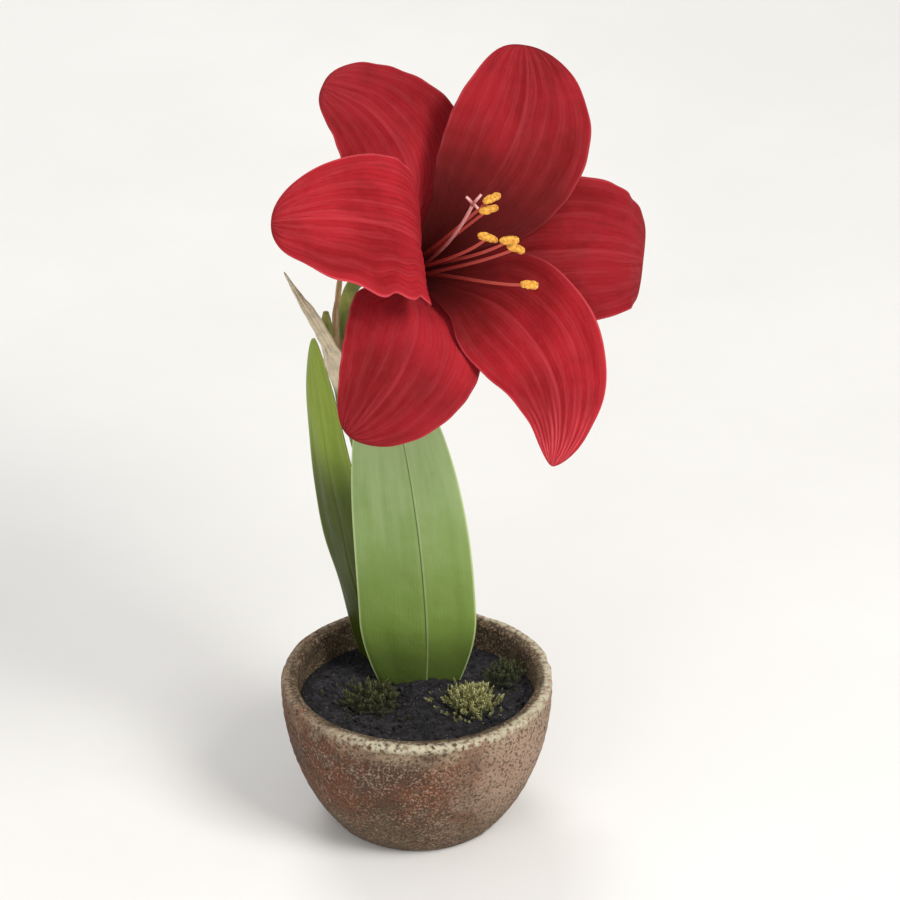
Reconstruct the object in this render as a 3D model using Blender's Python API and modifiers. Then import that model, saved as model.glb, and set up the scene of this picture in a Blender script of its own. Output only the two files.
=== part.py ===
"""An amaryllis with one open bloom, growing in an old clay pot.

Metres, +Z up. The origin is the centre of the pot's foot, -Y is the plant's front and +X its right.
The bloom has a frame of its own: its axis runs out of the throat, and angles round it are counted
from its right-hand side, anticlockwise as seen from the front.
"""
from dataclasses import dataclass
from math import comb, cos, pi, radians, sin

import bmesh
import bpy
import numpy as np
from mathutils import Matrix, Vector

# Pot and soil
POT_HEIGHT = 0.058
POT_RIM_RADIUS = 0.050
POT_FOOT_RADIUS = 0.030
POT_WALL = 0.006
POT_FLOOR = 0.006
POT_EDGE = 0.0009
POT_BELLY = 2.2            # how long the wall stays upright before it rounds in
POT_TUCK = 0.87            # how sharply it rounds in to the foot
WEEP_HOLE_RADIUS = 0.0025
WEEP_HOLE_CIRCLE = 0.016
SOIL_BELOW_RIM = 0.011
SOIL_SWELL = 0.0010        # height of the soil's long low waves
ROUND_STEPS = 40
GAP = 0.0003               # clearance between neighbours

# Bulb, buried under the leaves
BULB_CENTRE = (-0.001, 0.0175)
BULB_RADIUS = 0.0158
BULB_NECK_RADIUS = 0.0138
BULB_BOTTOM = 0.0120
BULB_TOP = 0.0385
GROWING_HEIGHT = 0.0402    # where the leaves and the scape start, just above the bulb

# Scape, the flower stalk, and what grows from its top
SCAPE_PATH = ((0.001, 0.024, GROWING_HEIGHT), (-0.004, 0.027, 0.090), (-0.018, 0.025, 0.130),
              (-0.024, 0.022, 0.166))
SCAPE_RADIUS = 0.0045
SCAPE_TOP_RADIUS = 0.0050
PEDICEL_RADIUS = 0.0025
OVARY_RADIUS = 0.0047
PEDICEL_BEND = Vector((-0.0325, 0.026, 0.2235))    # pulls it up before it turns to the bloom
PEDICEL_STUB = 0.002       # it runs straight into the cup over this length
BUD_TIP = (-0.0325, 0.0175, 0.2015)
BUD_STALK_RADIUS = 0.0008
BUD_RADIUS = 0.0024

# Bloom
BLOOM_TURN = radians(29)   # how far it faces to the right of the front
BLOOM_RISE = radians(34)   # how far it faces up
BLOOM_BASE = Vector((-0.004, 0.0115, 0.2205))
CUP_LENGTH = 0.0087        # the short green cup that the tepals stand on
CUP_BACK_RADIUS = 0.0036
CUP_FRONT_RADIUS = 0.0076
CUP_TOP = 0.0027
CUP_EDGE = 0.0006          # the slope round its face
TEPAL_START = 0.0032
TUBE_SHARE = 0.80          # how much of its third of the tube a tepal's base fills
INNER_RADIUS = 0.0046
OUTER_RADIUS = 0.0068
TEPAL_WALL = 0.0008
KEEL = 0.0009              # depth of the groove down a tepal's middle
TEPAL_COLUMNS, TEPAL_ROWS = 11, 19
TRIM_PLACE, TRIM_REACH = 0.50, 0.13   # where a tepal's trimmed side is narrowest, and how far that fades
FILL_FROM, FILL_OVER = 0.62, 0.12     # where its added width begins, and the share it grows over
STAMEN_CIRCLE = 0.0030
THROAT_LENGTH = 0.026      # the filaments and the style run straight this far
FILAMENT_RADIUS = 0.00070
ANTHER_SIZE = (0.0039, 0.00145, 0.00125)
STYLE_RADIUS = 0.0006
STYLE_TIP = (-0.0041, 0.0136, 0.078)
STIGMA_LOBE = 0.0042

LEAF_WALL = 0.0014
LEAF_COLUMNS, LEAF_ROWS = 9, 17
SPATHE_WALL = 0.0007
FOLD_ROUNDING = 0.002      # half width of the soft bend along the rib of a leaf or sheath
FOLD_LIFT = 0.0006


@dataclass
class Tepal:
    """One petal-like part of the bloom. Angles are in degrees and lengths in metres."""
    name: str
    radius: float          # distance of its base from the bloom's axis
    seat: float            # angle round the bloom where it is seated
    shift: float           # turn round the bloom that it has made by its middle
    bend: float            # further turn that it makes by its tip
    length: float
    half_width: float
    rise: float            # slope away from the axis at its base
    curl: float            # slope away from the axis at its tip
    delay: float           # above 1 keeps the curl for the outer part
    blunt: float           # small for a round end, near 1 for a pointed one
    widest: float          # where it is widest, as a share of its length
    cup: float             # curvature across its outer part, per metre, towards the throat
    flat_by: float = 0.55  # share of its length over which the tube opens flat
    swell: float = 1.3     # above 1 keeps it narrow for longer
    free_from: float = 0.35  # where it comes free of its neighbours
    spread: float = 1.5    # how much more room it has once free
    lean: float = 0.0      # roll about its own middle line, as a slope
    ruffle: float = 0.0012
    waves: float = 2.0
    wave_start: float = 0.0
    trim: float = 0.0      # share of the width missing on its lower side, near its middle
    fill: float = 0.0      # share of the width added on that side, towards its tip


TEPALS = (
    Tepal("tepal_right", OUTER_RADIUS, 351.5, -1.5, -3, 0.0970, 0.0266, 17.5, 140, 1.21, 0.30, 0.48, 3,
          swell=1.35, free_from=0.37, spread=2.4, lean=-0.16, wave_start=0.2),
    Tepal("tepal_upper_left", OUTER_RADIUS, 109.5, -20, 20.5, 0.0840, 0.0282, 18, 123, 1.09, 0.39, 0.55, 2,
          swell=1.35, free_from=0.36, spread=2.6, lean=-0.28, waves=2.4, wave_start=0.5),
    Tepal("tepal_lower_left", OUTER_RADIUS, 230.5, -0.5, -7, 0.0935, 0.0270, 18, 140, 1.57, 0.53, 0.49, 2,
          spread=2.0, lean=-0.03, waves=1.8, wave_start=0.1, ruffle=0.0010),
    Tepal("tepal_upper", INNER_RADIUS, 49, -10, 14, 0.1010, 0.0266, 13.5, 119, 1.11, 0.45, 0.66, 9,
          flat_by=0.58, swell=1.5, free_from=0.29, spread=2.5, waves=1.7, ruffle=0.0010),
    Tepal("tepal_left", INNER_RADIUS, 167, -13, 6.5, 0.1205, 0.0271, 2, 133, 1.62, 0.45, 0.51, 1,
          flat_by=0.27, swell=1.05, free_from=0.05, spread=1.2, lean=-0.38, waves=2.6, wave_start=0.6,
          trim=0.14, fill=0.13),
    Tepal("tepal_lower_right", INNER_RADIUS, 291.5, 12, -26, 0.1065, 0.0220, 11, 118, 1.26, 0.65, 0.50, 12,
          swell=1.4, free_from=0.30, spread=3.1, lean=-0.28, waves=1.9, wave_start=0.3),
)


@dataclass
class Strap:
    """A leaf or a sheath: a blade along a curve, with its outer face turned to `face`."""
    name: str
    path: tuple
    half_width: float
    base: float            # width at the base, as a share of the widest
    widest: float
    blunt: float
    face: tuple            # direction of the outer face at the base
    face_end: tuple        # and at the tip
    fold: float            # how far each flank folds back from the middle rib, degrees
    hug: float = 0.0       # curvature round what it grows from, at the base, per metre
    hold: float = 1.0      # above 1 keeps it near its widest for longer
    rib: float = 0.0       # how far the middle rib lies to the right, as a share of the half width


LEAVES = (
    Strap("leaf_front", ((0.001, 0.0125, GROWING_HEIGHT), (0.0015, 0.006, 0.085), (-0.002, 0.000, 0.130),
                         (-0.0115, 0.012, 0.182)),
          0.0218, 0.58, 0.27, 0.42, (0.06, -1, 0.10), (0.05, -1, 0.30), 9, hold=1.5, rib=0.12),
    Strap("leaf_left", ((-0.013, 0.0262, GROWING_HEIGHT), (-0.0235, 0.028, 0.085), (-0.0358, 0.030, 0.132),
                        (-0.0372, 0.034, 0.1815)),
          0.0142, 0.70, 0.42, 0.60, (-0.72, -0.69, 0.10), (-0.80, -0.60, 0.20), 10),
)

# The two papery sheaths that opened round the bloom: side of the scape that each is seated on, in
# degrees, the rest of its route, its half width and where its face looks at the tip
SPATHES = (
    ("spathe_front", 232, ((-0.0235, 0.0115, 0.184), (-0.038, 0.009, 0.204), (-0.047, 0.0105, 0.2215)),
     0.0054, (-0.2, -1, 0.1)),
    ("spathe_back", 132, ((-0.030, 0.029, 0.182), (-0.028, 0.030, 0.200), (-0.0265, 0.0275, 0.221)),
     0.0041, (-0.55, 0.8, 0.1)),
)

# Moss cushions: place on the soil, radius, height, number of spikes
MOSS = (("moss_right", (0.0200, -0.0025), 0.0078, 0.0024, 30),
        ("moss_left", (-0.0165, -0.0010), 0.0090, 0.0016, 26),
        ("moss_back", (0.033, 0.013), 0.0060, 0.0014, 16))
MOSS_GAP = 0.0006
MOSS_EDGE = 0.0009
MOSS_SPIKE_RADIUS = 0.0007
MOSS_SPIKE = (0.0026, 0.0060)

# Where each stamen starts round the style (degrees) and where it ends: right, up and out from the base
STAMENS = ((120, (0.0034, 0.0137, 0.077)), (60, (0.0035, 0.0105, 0.072)), (0, (0.0058, -0.0018, 0.0765)),
           (300, (0.0097, -0.0180, 0.074)), (240, (0.0098, -0.0048, 0.071)), (180, (0.0006, 0.0012, 0.0712)))


def unit(v):
    """Rows of an array made one long."""
    return v / np.linalg.norm(v, axis=-1, keepdims=True)


def ease(x):
    """0 below 0, 1 above 1, and smooth between."""
    x = np.clip(x, 0, 1)
    return x * x * (3 - 2 * x)


def bezier(points, v):
    """Points at the shares v along the Bezier curve with these control points."""
    points = np.asarray(points, float)
    n = len(points) - 1
    v = np.asarray(v, float)[:, None]
    return sum(comb(n, i) * (1 - v) ** (n - i) * v ** i * points[i] for i in range(n + 1))


def along(points, v, step=1e-3):
    """Directions of the Bezier curve at the shares v."""
    return unit(bezier(points, np.asarray(v) + step) - bezier(points, np.asarray(v) - step))


def bloom_frame():
    """Unit vectors of the bloom: out along its axis, to its right and up."""
    axis = Vector((cos(BLOOM_RISE) * sin(BLOOM_TURN), -cos(BLOOM_RISE) * cos(BLOOM_TURN), sin(BLOOM_RISE)))
    right = Vector((cos(BLOOM_TURN), sin(BLOOM_TURN), 0))
    return axis, right, right.cross(-axis).normalized()


def in_bloom(place):
    """World position of (right, up, out) measured from the bloom's base."""
    axis, right, up = bloom_frame()
    return BLOOM_BASE + right * place[0] + up * place[1] + axis * place[2]


def soil_top(x, y):
    """Height of the soil's uneven top, calm at the pot's wall."""
    calm = 1 - 0.6 * (x * x + y * y) / POT_RIM_RADIUS ** 2
    swell = np.sin(170 * x + 1.0) + np.sin(190 * y - 0.6) + 0.7 * np.sin(150 * (x - y) + 2.0)
    return POT_HEIGHT - SOIL_BELOW_RIM + SOIL_SWELL * calm * swell


def new_material(name, colour, roughness):
    material = bpy.data.materials.new(name)
    material.use_nodes = True
    shader = material.node_tree.nodes["Principled BSDF"]
    shader.inputs["Base Color"].default_value = (*colour, 1)
    shader.inputs["Roughness"].default_value = roughness
    shader.inputs["Metallic"].default_value = 0.0
    return material


def add_object(name, data, collection, material=None):
    item = bpy.data.objects.new(name, data)
    if material:
        data.materials.append(material)
    collection.objects.link(item)
    return item


def mesh_of(item):
    """The object's evaluated shape as a mesh in world space, with loose caps welded on."""
    bpy.context.view_layer.update()
    evaluated = item.evaluated_get(bpy.context.evaluated_depsgraph_get())
    mesh = bpy.data.meshes.new_from_object(evaluated)
    mesh.transform(item.matrix_world)
    shape = bmesh.new()
    shape.from_mesh(mesh)
    bmesh.ops.remove_doubles(shape, verts=shape.verts, dist=1e-6)
    shape.to_mesh(mesh)
    shape.free()
    return mesh


def bake(item):
    """The object rebuilt as a plain mesh at the origin."""
    name = item.name
    collection = item.users_collection[0]
    materials = list(item.data.materials)
    mesh = mesh_of(item)
    bpy.data.objects.remove(item)
    mesh.materials.clear()
    for material in materials:
        mesh.materials.append(material)
    mesh.name = name
    return add_object(name, mesh, collection)


def turned(name, profile, collection, material=None, steps=ROUND_STEPS):
    """A turned solid. The profile is (radius, height) points, down its outer side."""
    mesh = bpy.data.meshes.new(name)
    edges = [(i, i + 1) for i in range(len(profile) - 1)]
    mesh.from_pydata([(r, 0, z) for r, z in profile], edges, [])
    item = add_object(name, mesh, collection, material)
    screw = item.modifiers.new("turn", "SCREW")
    screw.steps = screw.render_steps = steps
    screw.use_merge_vertices = True
    screw.merge_threshold = 1e-5
    screw.use_smooth_shade = True
    return item


def tube(name, points, radii, collection, material=None, resolution=2):
    """A round tube through the points, with its radius at each."""
    curve = bpy.data.curves.new(name, "CURVE")
    curve.dimensions = "3D"
    curve.bevel_depth = max(radii)
    curve.bevel_resolution = resolution
    curve.use_fill_caps = True
    spline = curve.splines.new("POLY")
    spline.points.add(len(points) - 1)
    for point, place, radius in zip(spline.points, points, radii):
        point.co = (*place, 1)
        point.radius = radius / max(radii)
    spline.use_smooth = True
    return add_object(name, curve, collection, material)


def sheet(name, points, wall, collection, material=None):
    """A thin blade through a grid of points, the same triangles on both faces."""
    rows, columns = points.shape[:2]
    faces = []
    for i in range(rows - 1):
        for j in range(columns - 1):
            a = i * columns + j
            b, c, d = a + 1, a + columns + 1, a + columns
            faces += [(a, b, c), (a, c, d)] if j < columns // 2 else [(a, b, d), (b, c, d)]
    mesh = bpy.data.meshes.new(name)
    mesh.from_pydata(points.reshape(-1, 3).tolist(), [], faces)
    shape = bmesh.new()
    shape.from_mesh(mesh)
    bmesh.ops.remove_doubles(shape, verts=shape.verts, dist=1e-5)
    bmesh.ops.recalc_face_normals(shape, faces=shape.faces)
    shape.to_mesh(mesh)
    shape.free()
    mesh.shade_smooth()
    item = add_object(name, mesh, collection, material)
    solid = item.modifiers.new("wall", "SOLIDIFY")
    solid.thickness = wall
    solid.offset = 0
    return item


def cut(item, cutter):
    """Takes the cutter's shape out of the item."""
    cutter.hide_render = True
    cutter.display_type = "WIRE"
    hole = item.modifiers.new(cutter.name, "BOOLEAN")
    hole.operation = "DIFFERENCE"
    hole.object = cutter
    hole.solver = "EXACT"


def fuse(item, extras):
    """Joins the extra meshes to the item as one body."""
    collection = bpy.data.collections.new(item.name + "_extras")
    bpy.context.scene.collection.children.link(collection)
    for number, mesh in enumerate(extras):
        add_object(f"{item.name}_extra_{number}", mesh, collection)
    union = item.modifiers.new("union", "BOOLEAN")
    union.operation = "UNION"
    union.operand_type = "COLLECTION"
    union.collection = collection
    union.solver = "MANIFOLD"
    joined = bake(item)
    for extra in list(collection.objects):
        bpy.data.objects.remove(extra)
    bpy.data.collections.remove(collection)
    return joined


def pot_outer_radius(z):
    """Outer radius of the pot at a height: upright below the rim, rounding in to the foot."""
    depth = (POT_HEIGHT - z) / POT_HEIGHT
    return POT_FOOT_RADIUS + (POT_RIM_RADIUS - POT_FOOT_RADIUS) * (1 - depth ** POT_BELLY) ** POT_TUCK


def inner_wall(top, levels=6):
    """(radius, height) points down the pot's inner wall, from a height to its floor."""
    share = np.linspace(0, 1, levels) ** 0.8
    heights = top + (POT_FLOOR - top) * share
    return [(pot_outer_radius(z) - POT_WALL, z) for z in heights]


def make_pot(collection, cutters, material):
    soil_line = POT_HEIGHT - SOIL_BELOW_RIM
    inside = inner_wall(soil_line)
    inside.append((0, POT_FLOOR))
    inside.reverse()
    rim = [(POT_RIM_RADIUS - POT_WALL, POT_HEIGHT - POT_EDGE),
           (POT_RIM_RADIUS - POT_WALL + POT_EDGE, POT_HEIGHT),
           (POT_RIM_RADIUS - POT_EDGE, POT_HEIGHT),
           (POT_RIM_RADIUS, POT_HEIGHT - POT_EDGE)]
    heights = POT_HEIGHT * (1 - np.linspace(0.14, 1, 8) ** 0.9)
    outside = [(pot_outer_radius(z), z) for z in heights]
    foot = [(POT_FOOT_RADIUS - 0.001, 0), (0, 0)]
    outside[-1] = (POT_FOOT_RADIUS, 0.0008)
    pot = bake(turned("pot", inside + rim + outside + foot, collection, material))
    for number in range(3):
        angle = 2 * pi * number / 3 + pi / 2
        hole = turned(f"weep_hole_{number}", [(0, POT_FLOOR + 0.002), (WEEP_HOLE_RADIUS, POT_FLOOR + 0.002),
                                              (WEEP_HOLE_RADIUS, -0.002), (0, -0.002)], cutters, steps=12)
        hole.location = (WEEP_HOLE_CIRCLE * cos(angle), WEEP_HOLE_CIRCLE * sin(angle), 0)
        cut(pot, hole)
    return pot


def bulb_profile(extra=0.0):
    """(radius, height) points down the bulb's side; `extra` makes it larger all round."""
    share = np.linspace(0, 1, 9)
    middle = BULB_BOTTOM + 0.45 * (BULB_TOP - BULB_BOTTOM)
    points = [(0, BULB_TOP + extra)]
    for s in share:
        z = BULB_TOP + extra + (BULB_BOTTOM - BULB_TOP - 2 * extra) * s
        if z > middle:
            lean = (z - middle) / (BULB_TOP + extra - middle)
            radius = BULB_RADIUS - (BULB_RADIUS - BULB_NECK_RADIUS) * lean ** 2
        else:
            lean = (middle - z) / (middle - BULB_BOTTOM + extra)
            radius = BULB_RADIUS * (1 - 0.55 * lean ** 2.4)
        points.append((radius + extra, z))
    points.append((0, BULB_BOTTOM - extra))
    return points


def make_bulb(collection, material):
    bulb = turned("bulb", bulb_profile(), collection, material, steps=20)
    bulb.location = (*BULB_CENTRE, 0)
    return bulb


def make_soil(collection, cutters, material):
    top = POT_HEIGHT - SOIL_BELOW_RIM
    side = [(r - GAP, z) for r, z in inner_wall(top)]
    side[-1] = (side[-1][0], POT_FLOOR + GAP)
    edge = side[0][0]
    disc = [(edge * s, top) for s in np.linspace(0, 1, 8)[:-1]]
    soil = bake(turned("soil", disc + side + [(0, POT_FLOOR + GAP)], collection, material))
    for vertex in soil.data.vertices:
        if vertex.co.z > top - 1e-5:
            vertex.co.z = soil_top(vertex.co.x, vertex.co.y)
    pit = turned("bulb_pit", bulb_profile(GAP), cutters, steps=20)
    pit.location = (*BULB_CENTRE, 0)
    cut(soil, pit)
    reach = np.linspace(-0.02, 0.16, 5)
    radii = [SCAPE_RADIUS + 0.0004] * len(reach)
    hole = bake(tube("scape_hole", bezier(SCAPE_PATH, reach), radii, cutters, resolution=3))
    cut(soil, hole)
    for leaf in LEAVES:
        slot = strap_points(leaf, np.linspace(-0.02, 0.16, 5), LEAF_COLUMNS, margin=0.0004)
        cut(soil, bake(sheet(leaf.name + "_slot", slot, LEAF_WALL + 0.0008, cutters)))
    return soil


def moss_outline(angle, centre):
    """How far a cushion reaches at an angle, as a share of its radius."""
    return 1 + 0.12 * sin(3 * angle + centre[0] * 900) + 0.08 * sin(5 * angle + centre[1] * 700)


def moss_spike(centre, radius, height, share, angle, tilt, length):
    """One spike as a mesh, its foot sunk in the mound."""
    out = radius * share * moss_outline(angle, centre)
    x, y = centre[0] + out * cos(angle), centre[1] + out * sin(angle)
    lift = 0.0003 + height * (1 - share ** 2.2)
    heading = Vector((cos(angle) * sin(tilt), sin(angle) * sin(tilt), cos(tilt)))
    foot = Vector((x, y, soil_top(x, y) + MOSS_GAP + lift))
    shape = bmesh.new()
    bmesh.ops.create_cone(shape, cap_ends=True, segments=4, radius1=MOSS_SPIKE_RADIUS, radius2=0,
                          depth=length)
    mesh = bpy.data.meshes.new("spike")
    shape.to_mesh(mesh)
    shape.free()
    turn = heading.to_track_quat("Z", "Y").to_matrix().to_4x4()
    mesh.transform(Matrix.Translation(foot + heading * length / 2) @ turn)
    return mesh


def make_moss(collection, material):
    """Low mounds on the soil, each bristling with short fused spikes."""
    for name, centre, radius, height, count in MOSS:
        draw = np.random.default_rng(count)
        shares = np.linspace(0, 1, 6)
        dome = [(radius * s, MOSS_EDGE + height * (1 - s ** 2.2)) for s in shares]
        mound = bake(turned(name, dome + [(radius, 0), (0, 0)], collection, material, steps=18))
        for vertex in mound.data.vertices:
            x, y = vertex.co.x, vertex.co.y
            ragged = moss_outline(np.arctan2(y, x), centre)
            vertex.co.x = centre[0] + x * ragged
            vertex.co.y = centre[1] + y * ragged
            vertex.co.z += soil_top(vertex.co.x, vertex.co.y) + MOSS_GAP
        spikes = []
        for number in range(count):
            share = 0.85 * ((number + 0.5) / count) ** 0.5
            tilt = 0.8 * share + draw.uniform(-0.15, 0.15)
            length = draw.uniform(*MOSS_SPIKE)
            spikes.append(moss_spike(centre, radius, height, share, number * radians(137.5), tilt, length))
        fuse(mound, spikes)


def strap_points(strap, shares, columns, margin=0.0):
    """Grid of points of a leaf or sheath: rows along it, columns from side to side."""
    centre = bezier(strap.path, shares)
    heading = along(strap.path, shares)
    share = np.clip(shares, 0, 1)
    face = unit(np.outer(1 - share, strap.face) + np.outer(share, strap.face_end))
    across = unit(np.cross(heading, face))
    outward = unit(np.cross(across, heading))
    swell = strap.base + (1 - strap.base) * np.sin(pi / 2 * np.clip(share / strap.widest, 0, 1))
    taper = np.clip((share - strap.widest) / (1 - strap.widest), 0, 1) ** strap.hold
    half = strap.half_width * np.where(share < strap.widest, swell, np.cos(pi / 2 * taper) ** strap.blunt)
    half = half + margin
    s = np.linspace(-1, 1, columns)[None, :] * half[:, None]
    curvature = strap.hug * (1 - ease(share / 0.4))[:, None] + 0.01
    fold = radians(strap.fold)
    from_rib = s - strap.rib * half[:, None]
    folded = np.sqrt(from_rib ** 2 + FOLD_ROUNDING ** 2) * sin(fold) - FOLD_LIFT
    back = folded + (1 - np.cos(curvature * s)) / curvature
    side = np.sin(curvature * s) / curvature * cos(fold)
    return centre[:, None] + across[:, None] * side[..., None] - outward[:, None] * back[..., None]


def rows_to_tip(count):
    """Shares along a blade, closer together towards its tip."""
    return 1 - (1 - np.linspace(0, 1, count)) ** 1.35


def make_leaves(collection, material):
    for leaf in LEAVES:
        points = strap_points(leaf, rows_to_tip(LEAF_ROWS), LEAF_COLUMNS)
        sheet(leaf.name, points, LEAF_WALL, collection, material)


def scape_top(offset):
    """A place just above the scape's upper end, that far to its right, and the scape's direction there."""
    heading = Vector(along(SCAPE_PATH, [1.0])[0])
    side = Vector((1, 0, 0)) - heading * heading.x
    return Vector(SCAPE_PATH[-1]) + heading * (GAP + 0.0002) + side.normalized() * offset, heading


def make_scape(collection, material):
    shares = np.linspace(0, 1, 12)
    radii = SCAPE_RADIUS + (SCAPE_TOP_RADIUS - SCAPE_RADIUS) * ease((shares - 0.85) / 0.15)
    tube("scape", bezier(SCAPE_PATH, shares), radii, collection, material, resolution=3)


def spathe_valves():
    """The papery sheaths as straps, seated on the scape's end and hugging it at the foot."""
    seat = bezier(SCAPE_PATH, [0.95])[0]
    off = SCAPE_TOP_RADIUS + GAP + SPATHE_WALL / 2
    valves = []
    for name, angle, path, width, end in SPATHES:
        face = (cos(radians(angle)), sin(radians(angle)), 0)
        start = seat + off * np.array(face)
        second = start + np.array([face[0] * 0.0015, face[1] * 0.0015, 0.010])
        valves.append(Strap(name, (tuple(start), tuple(second)) + path, width, 0.90, 0.20, 0.75,
                            face, end, 4, hug=1 / off))
    return valves


def make_spathe(collection, material):
    for valve in spathe_valves():
        sheet(valve.name, strap_points(valve, rows_to_tip(14), 7), SPATHE_WALL, collection, material)


def make_pedicel(collection, material):
    """The bloom's own stalk, swelling into the ovary behind the green cup."""
    start, heading = scape_top(0.0018)
    axis = bloom_frame()[0]
    end = in_bloom((0, 0, CUP_TOP - CUP_LENGTH - GAP))
    root = end - axis * PEDICEL_STUB
    path = (start, start + heading * 0.022, PEDICEL_BEND, root - axis * 0.012, root)
    shares = np.linspace(0, 1, 19)
    swell = ease((shares - 0.67) / 0.15) * (1 - ease((shares - 0.86) / 0.14))
    neck = PEDICEL_RADIUS + (CUP_BACK_RADIUS - PEDICEL_RADIUS) * ease((shares - 0.6) / 0.4)
    radii = np.append(neck + (OVARY_RADIUS - PEDICEL_RADIUS - 0.0007) * swell, CUP_BACK_RADIUS)
    centres = np.vstack([bezier(path, shares), end])
    tube("pedicel_and_ovary", centres, radii, collection, material, resolution=3)


def make_bud(collection, material):
    """A small second bud that has not opened, on its own thin stalk."""
    start, heading = scape_top(-0.0030)
    path = (start, start + heading * 0.012, Vector(BUD_TIP) - Vector((0, 0, 0.015)), Vector(BUD_TIP))
    shares = 1 - (1 - np.linspace(0, 1, 13)) ** 1.2
    swell = ease((shares - 0.60) / 0.15) * (1 - ((np.clip(shares, 0.75, 1) - 0.75) / 0.25) ** 2 * 0.9)
    radii = BUD_STALK_RADIUS + (BUD_RADIUS - BUD_STALK_RADIUS) * swell
    radii[-1] = 0.0003
    tube("bud", bezier(path, shares), radii, collection, material)


def make_cup(collection, material):
    """The short cup above the ovary: the tepals, stamens and style stand on its face."""
    back = CUP_TOP - CUP_LENGTH
    shares = np.linspace(0, 1, 5)
    spread = CUP_FRONT_RADIUS - CUP_BACK_RADIUS
    flare = [(CUP_BACK_RADIUS + spread * s ** 1.4, back + (CUP_LENGTH - CUP_EDGE) * s) for s in shares]
    flare.reverse()
    cup = turned("bloom_cup", [(0, CUP_TOP), (CUP_FRONT_RADIUS - CUP_EDGE, CUP_TOP)] + flare + [(0, back)],
                 collection, material, steps=20)
    axis, right, up = bloom_frame()
    turn = Matrix((right, up, axis)).transposed().to_4x4()
    cup.matrix_world = Matrix.Translation(BLOOM_BASE) @ turn


def tepal_spine(tepal, shares):
    """Distance from the axis, distance along it and slope away from it, at shares of the length."""
    steps = 400
    fine = np.linspace(0, 1, steps + 1)
    slope = np.radians(tepal.rise + (tepal.curl - tepal.rise) * fine ** tepal.delay)
    middle = (slope[1:] + slope[:-1]) / 2
    step = tepal.length / steps
    out = tepal.radius + np.concatenate([[0], np.cumsum(np.sin(middle)) * step])
    forward = TEPAL_START + np.concatenate([[0], np.cumsum(np.cos(middle)) * step])
    return np.interp(shares, fine, out), np.interp(shares, fine, forward), np.interp(shares, fine, slope)


def tepal_centre(tepal, shares):
    """Centre line of a tepal in the world, and the direction that its inner face looks in."""
    axis, right, up = (np.array(v) for v in bloom_frame())
    out, forward, slope = tepal_spine(tepal, shares)
    angle = np.radians(tepal.seat + tepal.shift * ease(shares / 0.45) + tepal.bend * shares ** 2)
    radial = np.cos(angle)[:, None] * right + np.sin(angle)[:, None] * up
    inward = -np.cos(slope)[:, None] * radial + np.sin(slope)[:, None] * axis
    return np.array(BLOOM_BASE) + radial * out[:, None] + axis * forward[:, None], inward, out


def tepal_half_width(tepal, shares, out):
    """Half the width: a swelling blade, kept inside its third of the tube near the base."""
    swell = 0.26 + 0.74 * np.sin(pi / 2 * np.clip(shares / tepal.widest, 0, 1)) ** tepal.swell
    taper = np.clip((shares - tepal.widest) / (1 - tepal.widest), 0, 1)
    blade = tepal.half_width * np.where(shares < tepal.widest, swell, np.cos(pi / 2 * taper) ** tepal.blunt)
    room = TUBE_SHARE * pi / 3 * out * (1 + tepal.spread * ease((shares - tepal.free_from) / 0.4))
    return (np.maximum(blade, 1e-6) ** -6 + room ** -6) ** (-1 / 6)


def tepal_points(tepal, shares, columns):
    """Grid of points of a tepal: rows along it, columns from side to side."""
    centre, inward, out = tepal_centre(tepal, shares)
    step = 1e-3
    ahead = tepal_centre(tepal, np.minimum(shares + step, 1))[0]
    behind = tepal_centre(tepal, np.maximum(shares - step, 0))[0]
    heading = unit(ahead - behind)
    across = unit(np.cross(heading, inward))
    inward = unit(np.cross(across, heading))
    half = tepal_half_width(tepal, shares, out)
    u = np.linspace(-1, 1, columns)[None, :]
    trimmed = 1 - tepal.trim * np.exp(-((shares - TRIM_PLACE) / TRIM_REACH) ** 2)
    trimmed = trimmed + tepal.fill * ease((shares - FILL_FROM) / FILL_OVER)
    s = u * half[:, None] * np.where(u < 0, trimmed[:, None], 1)
    opened = ease(shares / tepal.flat_by)
    curvature = (0.96 * (1 - opened) / out + opened * tepal.cup)[:, None]
    curvature = np.where(np.abs(curvature) < 0.01, 0.01, curvature)
    side = np.sin(curvature * s) / curvature
    lift = (1 - np.cos(curvature * s)) / curvature
    v = shares[:, None]
    lift = lift + tepal.lean * s * ease(2 * (v - 0.1))
    tip = np.clip((1 - v) * 8, 0, 1)
    groove = KEEL * np.minimum(1, v * 3) * tip
    lift = lift + groove * (np.abs(np.tanh(s / 0.004)) - 1)
    phase = 2 * pi * (tepal.waves * v + tepal.wave_start + 0.35 * np.sign(u))
    lift = lift + tepal.ruffle * tip * np.abs(u) ** 2.2 * np.sin(phase) * np.clip((v - 0.25) * 3, 0, 1)
    return centre[:, None] + across[:, None] * side[..., None] + inward[:, None] * lift[..., None]


def make_tepals(collection, material):
    for tepal in TEPALS:
        points = tepal_points(tepal, rows_to_tip(TEPAL_ROWS), TEPAL_COLUMNS)
        sheet(tepal.name, points, TEPAL_WALL, collection, material)


def filament_path(angle, end):
    """World points of a filament, which leaves the throat straight and sweeps to its anther."""
    x, y = STAMEN_CIRCLE * cos(radians(angle)), STAMEN_CIRCLE * sin(radians(angle))
    start = (x, y, TEPAL_START)
    belly = 0.001 if y > 0.001 else -0.003
    path = (start, (x, y, THROAT_LENGTH), (0.45 * end[0], 0.6 * end[1] + belly, 0.68 * end[2]), end)
    return [in_bloom(p) for p in bezier(path, np.linspace(0, 1, 12))]


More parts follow.
